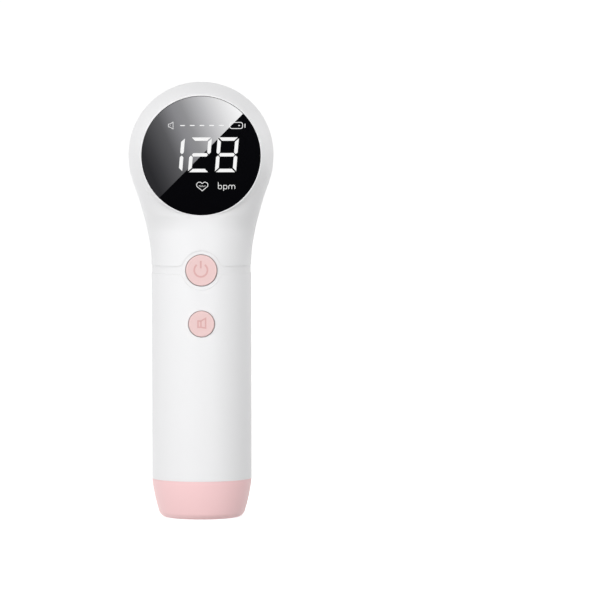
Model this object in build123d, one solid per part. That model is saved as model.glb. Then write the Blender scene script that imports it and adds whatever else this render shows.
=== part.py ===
from build123d import *
import os
from math import asin, copysign, cos, pi, radians, sin, sqrt

# Hand-held fetal doppler monitor, in millimetres.
# The origin is the centre of the flat foot, +Z runs up the grip, and the display and keys face -Y.

# ---------------------------------------------------------------- outer form
grip_radius = 17.2
shell_wall = 2.0
cap_height = 13.4            # foot to the seam of the probe cap
grip_length = 71.0           # cap seam to the waist band
waist_height = 2.7           # recessed band between grip and head
waist_recess = 0.4
neck_length = 37.9           # waist band to the head's centre
head_radius = 25.0
head_set_back = 2.45         # the head's widest circle lies this far behind the grip axis
display_stand = 0.6          # the display's plane stands this far in front of the grip's surface
display_rim_set_in = 4.3     # the display's rim is this much smaller in radius than the head
neck_top_below_centre = 5.5  # where the neck's sides run out on the head
neck_back_runout = 38.0      # degrees below the head's centre where the neck's back runs out on the head
neck_fullness = 1.1          # how much squarer than an ellipse the neck's front gets
neck_full_from = 0.35        # shares of the neck's height between which it gets squarer
neck_full_to = 0.8
neck_side_sink = 0.15        # how far inside the head's surface the neck's sides end
neck_back_sink = 0.12        # how fast the neck's back dips into the head above its runout
neck_core_height = 25.0      # the neck's core widens over this height
neck_core_spread = 4.6       # and by this much at each side
cavity_rings = 5             # cones that the core of each half of the head is turned from

# ---------------------------------------------------------------- fits
slip_gap = 0.05              # radial gap where one moulding slides into another
seat_gap = 0.1               # gap left at seats that are not clamped
key_gap = 0.2                # radial gap round a key
pilot_gap = 0.02             # radial gap of a screw in its pilot hole
screw_radius = 1.0
screw_clear_radius = 1.15
screw_head_radius = 1.9
screw_head_height = 1.2
screw_length = 7.0

# ---------------------------------------------------------------- probe cap
cap_toe_set_in = 3.05        # the cap's side would meet the foot plane this far inside the grip's surface
cap_side_bulge = 0.4
foot_corner_radius = 3.0
cap_face_wall = 1.3
cap_spigot_length = 7.0
cap_spigot_wall = 2.15
cap_bore_step = 0.5          # the cap's lower bore is this much narrower in radius
cap_step_depth = 2.0         # and starts this far below the seam
seal_groove_height = 2.0
seal_groove_depth = 1.3
seal_groove_above_seam = 2.4
seal_clearance = 0.01

# ---------------------------------------------------------------- transducer
crystal_margin = 1.8         # the crystals are this much smaller in radius than the cup
crystal_thickness = 1.0
crystal_split = 1.2
matching_thickness = 0.6
backing_height = 4.6
cup_wall = 0.4
cup_clearance = 0.3
cup_lid = 0.5
lead_width = 1.2
lead_thickness = 0.4
lead_spread = 3.0            # each lead lies this far from the middle plane
lead_bend = 1.6
lead_rise = 3.4              # the leads run straight up this far, then lean to the board
lead_lean = 3.6
lead_pad = 4.0               # they end this far above the board's lower edge

# ---------------------------------------------------------------- waist ring
spigot_length = 7.6
spigot_wall = 1.75
eye_margin = 1.45            # width of the eye's floor round the power key
eye_blend_radius = 2.4
boss_set_in = 1.8            # the screw bosses' centres lie this far inside the spigot's bore
boss_radius = 2.1
boss_height = 8.6

# ---------------------------------------------------------------- keys and their switches
power_key_above_grip = 1.4   # the power key's centre lies this far above the grip's top edge
power_key_radius = 5.3
key_pitch = 18.3             # the sound key lies this far below the power key
sound_key_radius = 4.4
key_stand = 0.4              # how far a key's face stands above the surface it sits in
key_edge = 0.35
key_flange = 1.0             # radial width and thickness of the flange that keeps a key in
key_travel = 0.4
key_rest_gap = 0.03
power_seat_depth = 2.9       # depth of the flat seats behind the keys
sound_seat_depth = 2.6
seat_margin = 1.0
switch_size = 6.0
switch_case_height = 3.1
switch_plunger_radius = 1.7
switch_plunger_reach = 1.2
switch_plunger_depth = 0.5
switch_running_gap = 0.05
key_foot_radius = 1.5

# ---------------------------------------------------------------- main board and chassis
board_set_in = 5.1           # front face of the main board, inside the ring's bore
board_thickness = 1.2
board_width = 20.0
board_corner = 1.5
board_above_waist = 6.5
board_above_plate_foot = 2.5
standoff = 1.0
standoff_radius = 2.0
plate_thickness = 1.5
plate_above_waist = 5.5
plate_edge_gap = 0.3
rail_depth = 7.4
rail_thickness = 1.0
board_screw_x = 7.6
board_screw_in = 4.0         # lower screws, above the board's foot
board_screw_length = 3.2
# processor, amplifier, memory and coil: width, height, rise, x, height above the board's foot
chip_sizes = [
    (7.0, 7.0, 0.9, 0.0, 23.0),
    (4.0, 5.0, 1.2, 6.2, 33.0),
    (5.0, 4.0, 1.0, -6.0, 33.5),
    (5.0, 5.0, 2.4, -4.8, 12.5),
]

# ---------------------------------------------------------------- battery and sockets
battery_width = 21.0
battery_thickness = 8.0
battery_length = 36.0
battery_corner = 2.4
battery_above_plate_foot = 1.0
battery_tab = 3.0
battery_tab_thickness = 1.0
tape_thickness = 0.5
tape_margin = 3.0
port_board_front = 7.0       # face nearest the display, behind the grip axis
port_board_thickness = 1.2
port_board_width = 19.0
port_board_above_socket = 4.4
port_board_below_socket = 14.0
port_post_x = 7.4
port_post_in = 2.4           # the posts stand this far inside the port board's ends
port_post_radius = 1.6
charging_below_grip_top = 12.4
charging_width = 8.94
charging_depth = 3.26
charging_wall = 0.3
charging_mouth_set_in = 0.9  # mouth of the socket, inside the grip's surface
charging_floor = 1.2
tongue_width = 6.7
tongue_thickness = 0.7
tongue_short = 0.8
jack_below_socket = 9.0
jack_bore_radius = 1.8
jack_bore_depth = 14.0
jack_nose_radius = 2.9
jack_nose_length = 2.7
jack_body = 6.4
jack_mouth_set_in = 0.3
jack_floor = 0.7
port_gap = 0.15

# ---------------------------------------------------------------- display
lip_width = 0.4              # lip of the head shell round the lens
lens_thickness = 1.6
lens_tape_thickness = 0.3
lens_tape_width = 1.6
ledge_width = 1.7
ledge_thickness = 1.5
display_board_gap = 0.3      # radial gap of the display board inside the ledge
display_board_thickness = 1.2
display_board_set_in = 8.6   # back face of the display board, behind the display's plane
reflector_margin = 0.7
digit_height = 12.4
digit_width = 7.2
digit_pitch = 9.17
digit_slant = 6.0
segment_width = 1.7
segment_gap = 0.25
dash_count = 5
dash_pitch = 3.4
dash_length = 2.2
dash_shift = 0.4
legend_row_above = 10.1
legend_row_below = -10.6
legend_height = 2.6
legends = [                  # speaker, battery, heart and unit: middle, row, width
    (-10.6, legend_row_above, 2.4),
    (11.8, legend_row_above, 4.6),
    (0.2, legend_row_below, 4.2),
    (8.8, legend_row_below, 6.0),
]
chip_length = 1.6
chip_width = 0.8
chip_height = 0.6
post_set_in = 2.5            # the posts' centres lie this far inside the display board's edge
post_radius = 2.0
ribbon_width = 6.0
ribbon_thickness = 0.3
ribbon_x = 6.2
ribbon_bend = 1.0
ribbon_below_posts = 2.0
ribbon_on_board = 6.0        # length held on the display board
ribbon_drop = 5.0
ribbon_over_board = 1.5

# ---------------------------------------------------------------- loudspeaker and its grille
speaker_radius = 12.0
speaker_height = 3.6
speaker_rim = 1.2
speaker_floor = 0.6
cone_thickness = 0.3
cone_throat_radius = 3.6
cone_throat_step = 0.4
magnet_radius = 6.4
magnet_height = 3.8
gasket_thickness = 0.4
speaker_set_in = 7.05        # face that the gasket presses on, inside the head's rearmost point
speaker_collar_wall = 1.2
grille_hole_radius = 0.9
grille_pitch = 3.2
grille_rings = 2
shelf_gap = 0.3
shelf_thickness = 2.0
shelf_bore = 10.2

# ---------------------------------------------------------------- heights and faces that follow
grip_top = cap_height + grip_length
waist_top = grip_top + waist_height
head_z = waist_top + neck_length
grip_bore = grip_radius - shell_wall
spigot_radius = grip_bore - slip_gap
spigot_bore_radius = spigot_radius - spigot_wall
boss_circle = spigot_bore_radius - boss_set_in
waist_radius = grip_radius - waist_recess
eye_radius = power_key_radius + eye_margin
power_key_height = grip_top + power_key_above_grip
sound_key_height = power_key_height - key_pitch
power_seat = waist_radius - power_seat_depth
sound_seat = grip_radius - sound_seat_depth
cap_spigot_top = cap_height + cap_spigot_length
cap_spigot_bore = spigot_radius - cap_spigot_wall
cap_bore_radius = cap_spigot_bore - cap_bore_step
cap_toe_radius = grip_radius - cap_toe_set_in
cup_radius = cap_bore_radius - cup_clearance
crystal_radius = cup_radius - crystal_margin
spigot_low = grip_top - spigot_length
spigot_high = waist_top + spigot_length
board_front = spigot_bore_radius - board_set_in
board_back = board_front - board_thickness
plate_front = board_back - standoff
plate_back = plate_front - plate_thickness
plate_foot = cap_spigot_top + seat_gap
plate_top = waist_top + plate_above_waist
board_bottom = plate_foot + board_above_plate_foot
board_top = waist_top + board_above_waist
board_screw_low = board_bottom + board_screw_in
board_screw_high = spigot_low - screw_head_radius - seat_gap
switch_front = board_front + switch_case_height
plunger_tip = switch_front + switch_plunger_reach
charging_height = grip_top - charging_below_grip_top
charging_mouth = grip_radius - charging_mouth_set_in
jack_height = charging_height - jack_below_socket
jack_mouth = grip_radius - jack_mouth_set_in
jack_shoulder = jack_mouth - jack_nose_length
port_board_bottom = charging_height - port_board_below_socket
port_board_top = charging_height + port_board_above_socket
display_set_out = grip_radius + display_stand
display_rim_radius = head_radius - display_rim_set_in
display_board_back = display_set_out - display_board_set_in
display_board_front = display_board_back + display_board_thickness
lens_radius = display_rim_radius - lip_width
ledge_radius = lens_radius - ledge_width
display_board_radius = ledge_radius - display_board_gap
reflector_radius = display_board_radius - reflector_margin
post_circle = display_board_radius - post_set_in
lens_back = display_set_out - lens_thickness
ledge_front = lens_back - lens_tape_thickness
ledge_back = ledge_front - ledge_thickness
reflector_front = lens_back - seat_gap
speaker_ledge_depth = head_set_back + head_radius - speaker_set_in
shelf_bottom = spigot_high + shelf_gap
far = 60.0                   # longer than anything that a cutting tool must pass

parts = {}


def rod(radius, low, high, x=0.0, y=0.0):
    """Upright round bar."""
    return Pos(x, y, (low + high) / 2) * Cylinder(radius, high - low)


def bar(radius, front, back, x=0.0, z=0.0):
    """Round bar along the Y axis, from front to back."""
    return Pos(x, (front + back) / 2, z) * Rot(90, 0, 0) * Cylinder(radius, back - front)


def block(x_low, x_high, y_low, y_high, z_low, z_high):
    size = (x_high - x_low, y_high - y_low, z_high - z_low)
    middle = ((x_low + x_high) / 2, (y_low + y_high) / 2, (z_low + z_high) / 2)
    return Pos(*middle) * Box(*size)


def facing(outline, front, back):
    """Solid of an outline drawn in X and Z, from the plane y = front to the plane y = back."""
    plane = Plane((0, front, 0), x_dir=(1, 0, 0), z_dir=(0, -1, 0))
    return extrude(plane * outline, amount=-(back - front))


def turned_about_head(outline):
    """Turns an outline drawn in Y and radius about the head's axis."""
    plane = Plane((0, 0, head_z), x_dir=(0, 1, 0), z_dir=(1, 0, 0))
    return revolve(plane * outline, Axis((0, 0, head_z), (0, 1, 0)))


def turned_about_grip(outline):
    """Turns an outline drawn in radius and height about the grip's axis."""
    return revolve(Plane.XZ * outline, Axis.Z)


def on_circle(radius, count, first=0.0):
    """Points spread evenly round a circle."""
    turns = [radians(first + 360 * i / count) for i in range(count)]
    return [(radius * cos(a), radius * sin(a)) for a in turns]


# ================================================================ head shell
def head_body():
    """The round head, closed by the display's plane."""
    radius = head_radius
    rim = display_rim_radius
    back_arc = ThreePointArc(
        (head_set_back + radius, 0),
        (head_set_back + radius * sin(pi / 4), radius * cos(pi / 4)),
        (head_set_back, radius),
    )
    front_arc = TangentArc((head_set_back, radius), (-display_set_out, rim), tangent=(-1, 0))
    edges = [
        back_arc,
        front_arc,
        Line((-display_set_out, rim), (-display_set_out, 0)),
        Line((-display_set_out, 0), (head_set_back + radius, 0)),
    ]
    return turned_about_head(make_face(edges))


def head_cavity():
    """The head's hollow, turned from straight cones that keep about shell_wall to the outside."""
    back = head_radius - shell_wall
    drop = head_radius - display_rim_radius
    reach = display_set_out + head_set_back
    front = (reach**2 + drop**2) / (2 * drop) - shell_wall
    front_centre = back - front
    sweep = asin((reach - display_set_out + ledge_back) / front)
    outline = [(-ledge_back, 0)]
    for i in range(cavity_rings):
        angle = sweep * (1 - i / cavity_rings)
        outline.append((head_set_back - front * sin(angle), front_centre + front * cos(angle)))
    for i in range(cavity_rings + 1):
        angle = pi / 2 * i / cavity_rings
        outline.append((head_set_back + back * sin(angle), back * cos(angle)))
    return turned_about_head(make_face(Polyline(*outline, close=True)))


def neck_core():
    """The neck's hollow: a bore that widens to the sides but not to the front or back."""
    foot = spigot_high + slip_gap
    middle = foot + neck_core_height / 2
    bore = rod(grip_bore, waist_top - 1, foot)
    flare = Pos(0, 0, middle) * Cone(grip_bore, grip_bore + neck_core_spread, neck_core_height)
    return bore + (flare & block(-far, far, -grip_bore, grip_bore, 0, far * 3))


def ease(t, rise, end_slope):
    """Rises from 0 with no slope to rise with end_slope as t goes from 0 to 1."""
    return (3 * rise - end_slope) * t**2 + (end_slope - 2 * rise) * t**3


def neck_section(z, half_width, front, back, middle, fullness):
    """Outline across the neck: an elliptic back half and a squarer front half that meet at y = middle."""
    points = []
    count = 24
    for i in range(count):
        turn = 2 * pi * (i + 0.5) / count
        side, depth = cos(turn), sin(turn)
        power = 2 / fullness if depth < 0 else 1
        reach = front + middle if depth < 0 else back - middle
        x = half_width * copysign(abs(side) ** power, side)
        y = middle + reach * copysign(abs(depth) ** power, depth)
        points.append((x, y, z))
    return make_face(Spline(*points, periodic=True))


def neck_body():
    """The neck: upright at the waist, wider and squarer towards the top, run out on the head's circle."""
    top = head_z - neck_top_below_centre
    length = top - waist_top
    side_reach = sqrt(head_radius**2 - neck_top_below_centre**2)
    side_rise = side_reach - neck_side_sink - grip_radius
    side_slope = length * neck_top_below_centre / side_reach
    runout = radians(neck_back_runout)
    back_meets = head_z - head_radius * sin(runout)
    back_rise = head_set_back + head_radius * cos(runout) - grip_radius
    sections = []
    stations = 6
    for i in range(stations + 1):
        t = i / stations
        z = waist_top + t * length
        half_width = grip_radius + ease(t, side_rise, side_slope)
        if z < back_meets:
            back = grip_radius + back_rise * ((z - waist_top) / (back_meets - waist_top)) ** 3
        else:
            sunk = neck_back_sink * (z - back_meets)
            back = head_set_back + sqrt(head_radius**2 - (head_z - z) ** 2) - sunk
        middle = head_set_back * t
        squarer = (t - neck_full_from) / (neck_full_to - neck_full_from)
        fullness = 2 + ease(min(max(squarer, 0), 1), neck_fullness, 0)
        sections.append(neck_section(z, half_width, grip_radius, back, middle, fullness))
    return loft(sections)


def waist_zone():
    """Space of the waist band: a band all round, widened at the front into a round eye."""
    middle = (grip_top + waist_top) / 2
    outline = Pos(0, middle) * Rectangle(far, waist_height)
    outline += Pos(0, power_key_height) * Circle(eye_radius)
    corners = [v for v in outline.vertices() if abs(v.X) < eye_radius]
    outline = fillet(corners, eye_blend_radius)
    front = facing(outline, -far / 2, 0)
    back = block(-far / 2, far / 2, 0, far / 2, grip_top, waist_top)
    return front + back


def head_shell():
    """Outer form less everything that is empty inside it: the hollow goes round posts, shelf and collar."""
    posts = [bar(post_radius, -display_board_back, far, x, z) for x, z in post_points()]
    hollow = head_cavity() + neck_core() - posts - [speaker_collar(), shelf()]
    lens_recess = bar(lens_radius + slip_gap, -far, -ledge_front, z=head_z)
    board_mouth = bar(ledge_radius, -far, -ledge_back + 1, z=head_z)
    pilot_end = screw_length - display_board_front + 0.5
    pilots = [bar(screw_radius + pilot_gap, -far, pilot_end, x, z) for x, z in post_points()]
    grille = [bar(grille_hole_radius, speaker_ledge_depth - 1, far / 2, x, z) for x, z in grille_points()]
    shell = head_body() + neck_body() - hollow
    return shell - [lens_recess, board_mouth, waist_zone()] - pilots - grille


def shelf():
    """Floor across the neck that rests on the waist ring, open for the board and the ribbon."""
    top = shelf_bottom + shelf_thickness
    floor = rod(grip_radius, shelf_bottom, top) - rod(shelf_bore, shelf_bottom - 1, top + 1)
    half = board_width / 2 + shelf_gap
    reach = board_front + switch_case_height
    floor -= block(-half, half, -reach, 0, shelf_bottom - 1, top + 1)
    return floor - [rod(screw_clear_radius, shelf_bottom - 1, top + 1, x, y) for x, y in boss_points()]


def speaker_collar():
    """Round seat for the loudspeaker on the inside of the head's back."""
    bore = speaker_radius + slip_gap
    collar = bar(bore + speaker_collar_wall, speaker_ledge_depth - speaker_height, far / 2, z=head_z)
    collar -= bar(bore, 0, speaker_ledge_depth, z=head_z)
    return collar - bar(speaker_radius - speaker_rim, 0, far / 2, z=head_z)


def post_points():
    return [(x, head_z + z) for x, z in on_circle(post_circle, 4)]


def boss_points():
    return [(boss_circle, 0), (0, boss_circle), (-boss_circle, 0)]


def grille_points():
    points = [(0.0, 0.0)]
    for ring in range(1, grille_rings + 1):
        points += on_circle(grille_pitch * ring, 6 * ring)
    return [(x, head_z + z) for x, z in points]


# ================================================================ waist ring, grip and cap
def waist_ring():
    ring = rod(waist_radius, grip_top - eye_radius * 2, waist_top + eye_radius * 2) & waist_zone()
    ring += rod(spigot_radius, spigot_low, spigot_high)
    ring -= rod(spigot_bore_radius, spigot_low - 1, spigot_high + 1)
    for x, y in boss_points():
        ring += rod(boss_radius, spigot_high - boss_height, spigot_high, x, y)
    for x, y in boss_points():
        ring -= rod(screw_radius + pilot_gap, spigot_high - boss_height, spigot_high + 1, x, y)
    ring -= bar(power_key_radius + key_gap, -far, 0, z=power_key_height)
    ring -= bar(power_key_radius + key_flange + key_gap, -power_seat, 0, z=power_key_height)
    return ring


def grip_shell():
    shell = rod(grip_radius, cap_height, grip_top) - rod(grip_bore, cap_height - 1, grip_top + 1)
    seat_radius = sound_key_radius + key_flange + seat_margin
    seat = bar(seat_radius, -grip_radius, -sound_seat, z=sound_key_height)
    shell += seat & rod(grip_radius, cap_height, grip_top)
    shell -= bar(sound_key_radius + key_gap, -far, 0, z=sound_key_height)
    shell -= bar(sound_key_radius + key_flange + key_gap, -sound_seat, 0, z=sound_key_height)
    slot = SlotOverall(charging_width + 2 * port_gap, charging_depth + 2 * port_gap)
    shell -= facing(Pos(0, charging_height) * slot, 0, far)
    shell -= bar(jack_nose_radius + port_gap, 0, far, z=jack_height)
    shell -= waist_zone()
    return shell


def probe_cap():
    side = SagittaArc((cap_toe_radius, 0), (grip_radius, cap_height), -cap_side_bulge)
    spigot_foot = (spigot_radius, cap_height)
    spigot_head = (spigot_radius, cap_spigot_top)
    bore_head = (cap_spigot_bore, cap_spigot_top)
    step = cap_height - cap_step_depth
    edges = [
        Line((0, 0), (cap_toe_radius, 0)),
        side,
        Line((grip_radius, cap_height), spigot_foot),
        Line(spigot_foot, spigot_head),
        Line(spigot_head, bore_head),
        Line(bore_head, (cap_spigot_bore, step)),
        Line((cap_spigot_bore, step), (cap_bore_radius, step)),
        Line((cap_bore_radius, step), (cap_bore_radius, cap_face_wall)),
        Line((cap_bore_radius, cap_face_wall), (0, cap_face_wall)),
        Line((0, cap_face_wall), (0, 0)),
    ]
    outline = make_face(edges)
    toe = [v for v in outline.vertices() if v.Y < 0.01 and v.X > 1]
    outline = fillet(toe, foot_corner_radius)
    cap = turned_about_grip(outline)
    groove_low = cap_height + seal_groove_above_seam
    groove = rod(far, groove_low, groove_low + seal_groove_height)
    groove -= rod(spigot_radius - seal_groove_depth, groove_low - 1, groove_low + seal_groove_height + 1)
    return cap - groove


def cap_seal():
    """Square-cut ring in the cap's groove, pressed against the grip's bore."""
    low = cap_height + seal_groove_above_seam + seat_gap
    high = low + seal_groove_height - 2 * seat_gap
    inner = spigot_radius - seal_groove_depth + seal_clearance
    return rod(grip_bore - seal_clearance, low, high) - rod(inner, low - 1, high + 1)


# ================================================================ transducer in the cap
def half_round(side):
    """One half of the split crystal disc; side is +1 or -1 along X."""
    low = cap_face_wall + matching_thickness
    disc = rod(crystal_radius, low, low + crystal_thickness)
    inner = crystal_split / 2 * side
    outer = far * side
    keep = block(min(inner, outer), max(inner, outer), -far, far, low, low + crystal_thickness)
    return disc & keep


def transducer():
    face = cap_face_wall
    crystal_low = face + matching_thickness
    crystal_high = crystal_low + crystal_thickness
    lid_low = crystal_high + backing_height
    inner = cup_radius - cup_wall
    parts["matching_layer"] = rod(inner - slip_gap, face, crystal_low)
    parts["transmit_crystal"] = half_round(-1)
    parts["receive_crystal"] = half_round(1)
    strip = block(-crystal_split / 2, crystal_split / 2, -far, far, crystal_low, crystal_high)
    parts["crystal_divider"] = strip & rod(crystal_radius, crystal_low, crystal_high)
    parts["backing_block"] = rod(inner - slip_gap, crystal_high, lid_low)
    cup = rod(cup_radius, face, lid_low + cup_lid) - rod(inner, face - 1, lid_low)
    half = lead_width / 2 + slip_gap
    deep = lead_thickness / 2 + slip_gap
    for x in (-lead_spread, lead_spread):
        cup -= block(x - half, x + half, -deep, deep, lid_low - 1, lid_low + cup_lid + 1)
    parts["transducer_cup"] = cup
    parts["transducer_leads"] = transducer_leads(lid_low)


def transducer_leads(start):
    """Two flat leads from the backing block up to pads on the front of the main board."""
    face = -(board_front + lead_thickness / 2)
    bend = start + lead_rise
    points = [(0, start), (0, bend), (face, bend + lead_lean), (face, board_bottom + lead_pad)]
    strip = trace(FilletPolyline(*points, radius=lead_bend), lead_thickness)
    leads = Part()
    for x in (-lead_spread, lead_spread):
        plane = Plane((x - lead_width / 2, 0, 0), x_dir=(0, 1, 0), z_dir=(1, 0, 0))
        leads += extrude(plane * strip, amount=lead_width)
    return leads


# ================================================================ keys and switches
def key(radius, height, ground, seat):
    """A round key: flat face, stem in its hole, flange behind the flat seat, foot on the switch."""
    face = -(ground + key_stand)
    flange_front = -(seat - key_rest_gap)
    body = bar(radius, face, flange_front, z=height)
    rim = body.edges().filter_by(GeomType.CIRCLE).sort_by(Axis.Y)[0]
    body = chamfer(rim, key_edge)
    body += bar(radius + key_flange, flange_front, flange_front + key_flange, z=height)
    body += bar(key_foot_radius, flange_front, -plunger_tip, z=height)
    return body


def switch(prefix, height):
    half = switch_size / 2
    case = block(-half, half, -switch_front, -board_front, height - half, height + half)
    bore_floor = -(switch_front - switch_plunger_depth - key_travel - switch_running_gap)
    case -= bar(switch_plunger_radius + switch_running_gap, -switch_front - 1, bore_floor, z=height)
    parts[prefix + "_switch_case"] = case
    inner_end = -(switch_front - switch_plunger_depth)
    parts[prefix + "_switch_plunger"] = bar(switch_plunger_radius, -plunger_tip, inner_end, z=height)


# ================================================================ chassis, boards and battery
def board_screw_points():
    return [(x, z) for x in (-board_screw_x, board_screw_x) for z in (board_screw_low, board_screw_high)]


def port_post_points():
    low = port_board_bottom + port_post_in
    high = port_board_top - port_post_in
    return [(x, z) for x in (-port_post_x, port_post_x) for z in (low, high)]


def chassis():
    wide = sqrt(grip_bore**2 - plate_front**2) - plate_edge_gap
    narrow = sqrt(spigot_bore_radius**2 - plate_front**2) - plate_edge_gap
    shoulder = spigot_low - seat_gap
    plate = block(-wide, wide, -plate_front, -plate_back, plate_foot, shoulder)
    plate += block(-narrow, narrow, -plate_front, -plate_back, shoulder, plate_top)
    rail_x = battery_width / 2 + plate_edge_gap
    rail_top = plate_foot + battery_above_plate_foot + battery_length
    rail_back = rail_depth - plate_back
    for x in (-rail_x - rail_thickness, rail_x):
        plate += block(x, x + rail_thickness, -plate_back, rail_back, plate_foot, rail_top)
    for x, z in board_screw_points():
        plate += bar(standoff_radius, -board_back, -plate_front, x, z)
    for x, z in port_post_points():
        plate += bar(port_post_radius, -plate_back, port_board_front, x, z)
    for x, z in board_screw_points():
        plate -= bar(screw_radius + pilot_gap, -far, -plate_back + 1, x, z)
    return plate


def main_board():
    half = board_width / 2
    board = block(-half, half, -board_front, -board_back, board_bottom, board_top)
    board = fillet(board.edges().filter_by(Axis.Y), board_corner)
    for x, z in board_screw_points():
        board -= bar(screw_clear_radius, -far, 0, x, z)
    return board


def board_chips():
    """Processor, amplifier, memory and coil on the front of the main board."""
    chips = Part()
    for width, height, rise, x, above in chip_sizes:
        place = Pos(x, board_bottom + above)
        chips += facing(place * Rectangle(width, height), -board_front - rise, -board_front)
    return chips


def screws_along_y(points, seat, length):
    """Pan-head screws driven backwards, heads on the plane y = -seat."""
    group = Part()
    for x, z in points:
        screw = bar(screw_radius, -seat, -seat + length, x, z)
        screw += bar(screw_head_radius, -seat - screw_head_height, -seat, x, z)
        group += screw
    return group


def neck_screws():
    seat = shelf_bottom + shelf_thickness
    group = Part()
    for x, y in boss_points():
        screw = rod(screw_radius, seat - screw_length, seat, x, y)
        screw += rod(screw_head_radius, seat, seat + screw_head_height, x, y)
        group += screw
    return group


def battery_pack():
    low = plate_foot + battery_above_plate_foot
    high = low + battery_length - battery_tab
    front = -plate_back + tape_thickness
    half = battery_width / 2
    body = block(-half, half, front, front + battery_thickness, low, high)
    body = fillet(body.edges().filter_by(Axis.Z), battery_corner)
    tab_front = front + (battery_thickness - battery_tab_thickness) / 2
    tab_half = half - battery_corner
    body += block(-tab_half, tab_half, tab_front, tab_front + battery_tab_thickness, low, high + battery_tab)
    return body


def battery_tape():
    low = plate_foot + battery_above_plate_foot + tape_margin
    half = battery_width / 2 - battery_corner
    high = low + battery_length - battery_tab - 2 * tape_margin
    return block(-half, half, -plate_back, -plate_back + tape_thickness, low, high)


def port_board():
    half = port_board_width / 2
    back = port_board_front + port_board_thickness
    board = block(-half, half, port_board_front, back, port_board_bottom, port_board_top)
    opening = jack_body / 2 + port_gap
    board -= block(-opening, opening, 0, far, jack_height - opening, jack_height + opening)
    return board


def charging_socket():
    start = port_board_front + port_board_thickness
    place = Pos(0, charging_height)
    floor = start + charging_floor
    shell = facing(place * SlotOverall(charging_width, charging_depth), start, charging_mouth)
    bore = SlotOverall(charging_width - 2 * charging_wall, charging_depth - 2 * charging_wall)
    shell -= facing(place * bore, floor, charging_mouth + 1)
    parts["charging_socket_shell"] = shell
    tongue = place * Rectangle(tongue_width, tongue_thickness)
    parts["charging_socket_tongue"] = facing(tongue, floor, charging_mouth - tongue_short)


def earphone_jack():
    floor = jack_mouth - jack_bore_depth
    half = jack_body / 2
    body = block(-half, half, floor - jack_floor, jack_shoulder, jack_height - half, jack_height + half)
    body += bar(jack_nose_radius, jack_shoulder, jack_mouth, z=jack_height)
    return body - bar(jack_bore_radius, floor, far, z=jack_height)


# ================================================================ display
def digit_segments(x_middle):
    """Centre, length and turn of each of the seven segments of a slanted digit."""
    half = digit_height / 2 - segment_width / 2
    side = digit_width / 2 - segment_width / 2
    lean = sin(radians(digit_slant))
    segments = []
    for level in (-half, 0, half):
        segments.append((x_middle + level * lean, level, digit_width - 2 * segment_width, 0))
    for level in (-half / 2, half / 2):
        for x in (-side, side):
            segments.append((x_middle + x + level * lean, level, half - 2 * segment_gap, 90 - digit_slant))
    return segments


def display_windows():
    windows = []
    for place in (-1, 0, 1):
        windows += digit_segments(place * digit_pitch)
    for i in range(dash_count):
        x = (i - dash_count // 2) * dash_pitch + dash_shift
        windows.append((x, legend_row_above, dash_length, 0))
    return windows


def display_reflector():
    back = -display_board_front
    block_of_light = bar(reflector_radius, -reflector_front, back, z=head_z)
    for x, z in post_points():
        block_of_light -= bar(screw_head_radius + key_gap, -far, 0, x, z)
    for x, z, length, turn in display_windows():
        slot = Pos(x, head_z + z) * Rot(0, 0, turn) * Rectangle(length, segment_width - segment_gap)
        block_of_light -= facing(slot, -far, 0)
    for x, z, width in legends:
        slot = Pos(x, head_z + z) * Rectangle(width, legend_height)
        block_of_light -= facing(slot, -far, 0)
    return block_of_light


def led_chips():
    group = Part()
    for x, z, length, turn in display_windows():
        chip = Pos(x, head_z + z) * Rot(0, 0, turn) * Rectangle(chip_length, chip_width)
        group += facing(chip, -display_board_front - chip_height, -display_board_front)
    return group


def display_board():
    board = bar(display_board_radius, -display_board_front, -display_board_back, z=head_z)
    for x, z in post_points():
        board -= bar(screw_clear_radius, -far, 0, x, z)
    return board


def display_ribbon():
    upper = -display_board_back + ribbon_thickness / 2
    lower = -board_back + ribbon_thickness / 2
    leave = head_z - post_circle - ribbon_below_posts
    points = [
        (upper, leave + ribbon_on_board),
        (upper, leave - ribbon_drop),
        (lower, board_top + ribbon_over_board),
        (lower, board_top - ribbon_drop),
    ]
    strip = trace(FilletPolyline(*points, radius=ribbon_bend), ribbon_thickness)
    plane = Plane((ribbon_x - ribbon_width / 2, 0, 0), x_dir=(0, 1, 0), z_dir=(1, 0, 0))
    return extrude(plane * strip, amount=ribbon_width)


# ================================================================ loudspeaker
def loudspeaker():
    front = speaker_ledge_depth - gasket_thickness
    back = front - speaker_height
    frame = bar(speaker_radius, back, front, z=head_z)
    frame -= bar(speaker_radius - speaker_rim, back + speaker_floor, front + 1, z=head_z)
    parts["speaker_frame"] = frame
    parts["speaker_magnet"] = bar(magnet_radius, back - magnet_height, back, z=head_z)
    gasket = bar(speaker_radius, front, speaker_ledge_depth, z=head_z)
    parts["speaker_gasket"] = gasket - bar(speaker_radius - speaker_rim, front - 1, far, z=head_z)
    mouth = speaker_radius - speaker_rim - slip_gap
    low = back + speaker_floor
    high = front - cone_thickness
    edges = Polyline(
        (low, 0),
        (low, cone_throat_radius),
        (high, mouth),
        (high + cone_thickness, mouth),
        (low + cone_thickness, cone_throat_radius - cone_throat_step),
        (low + cone_thickness, 0),
        close=True,
    )
    parts["speaker_cone"] = turned_about_head(make_face(edges))


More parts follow.
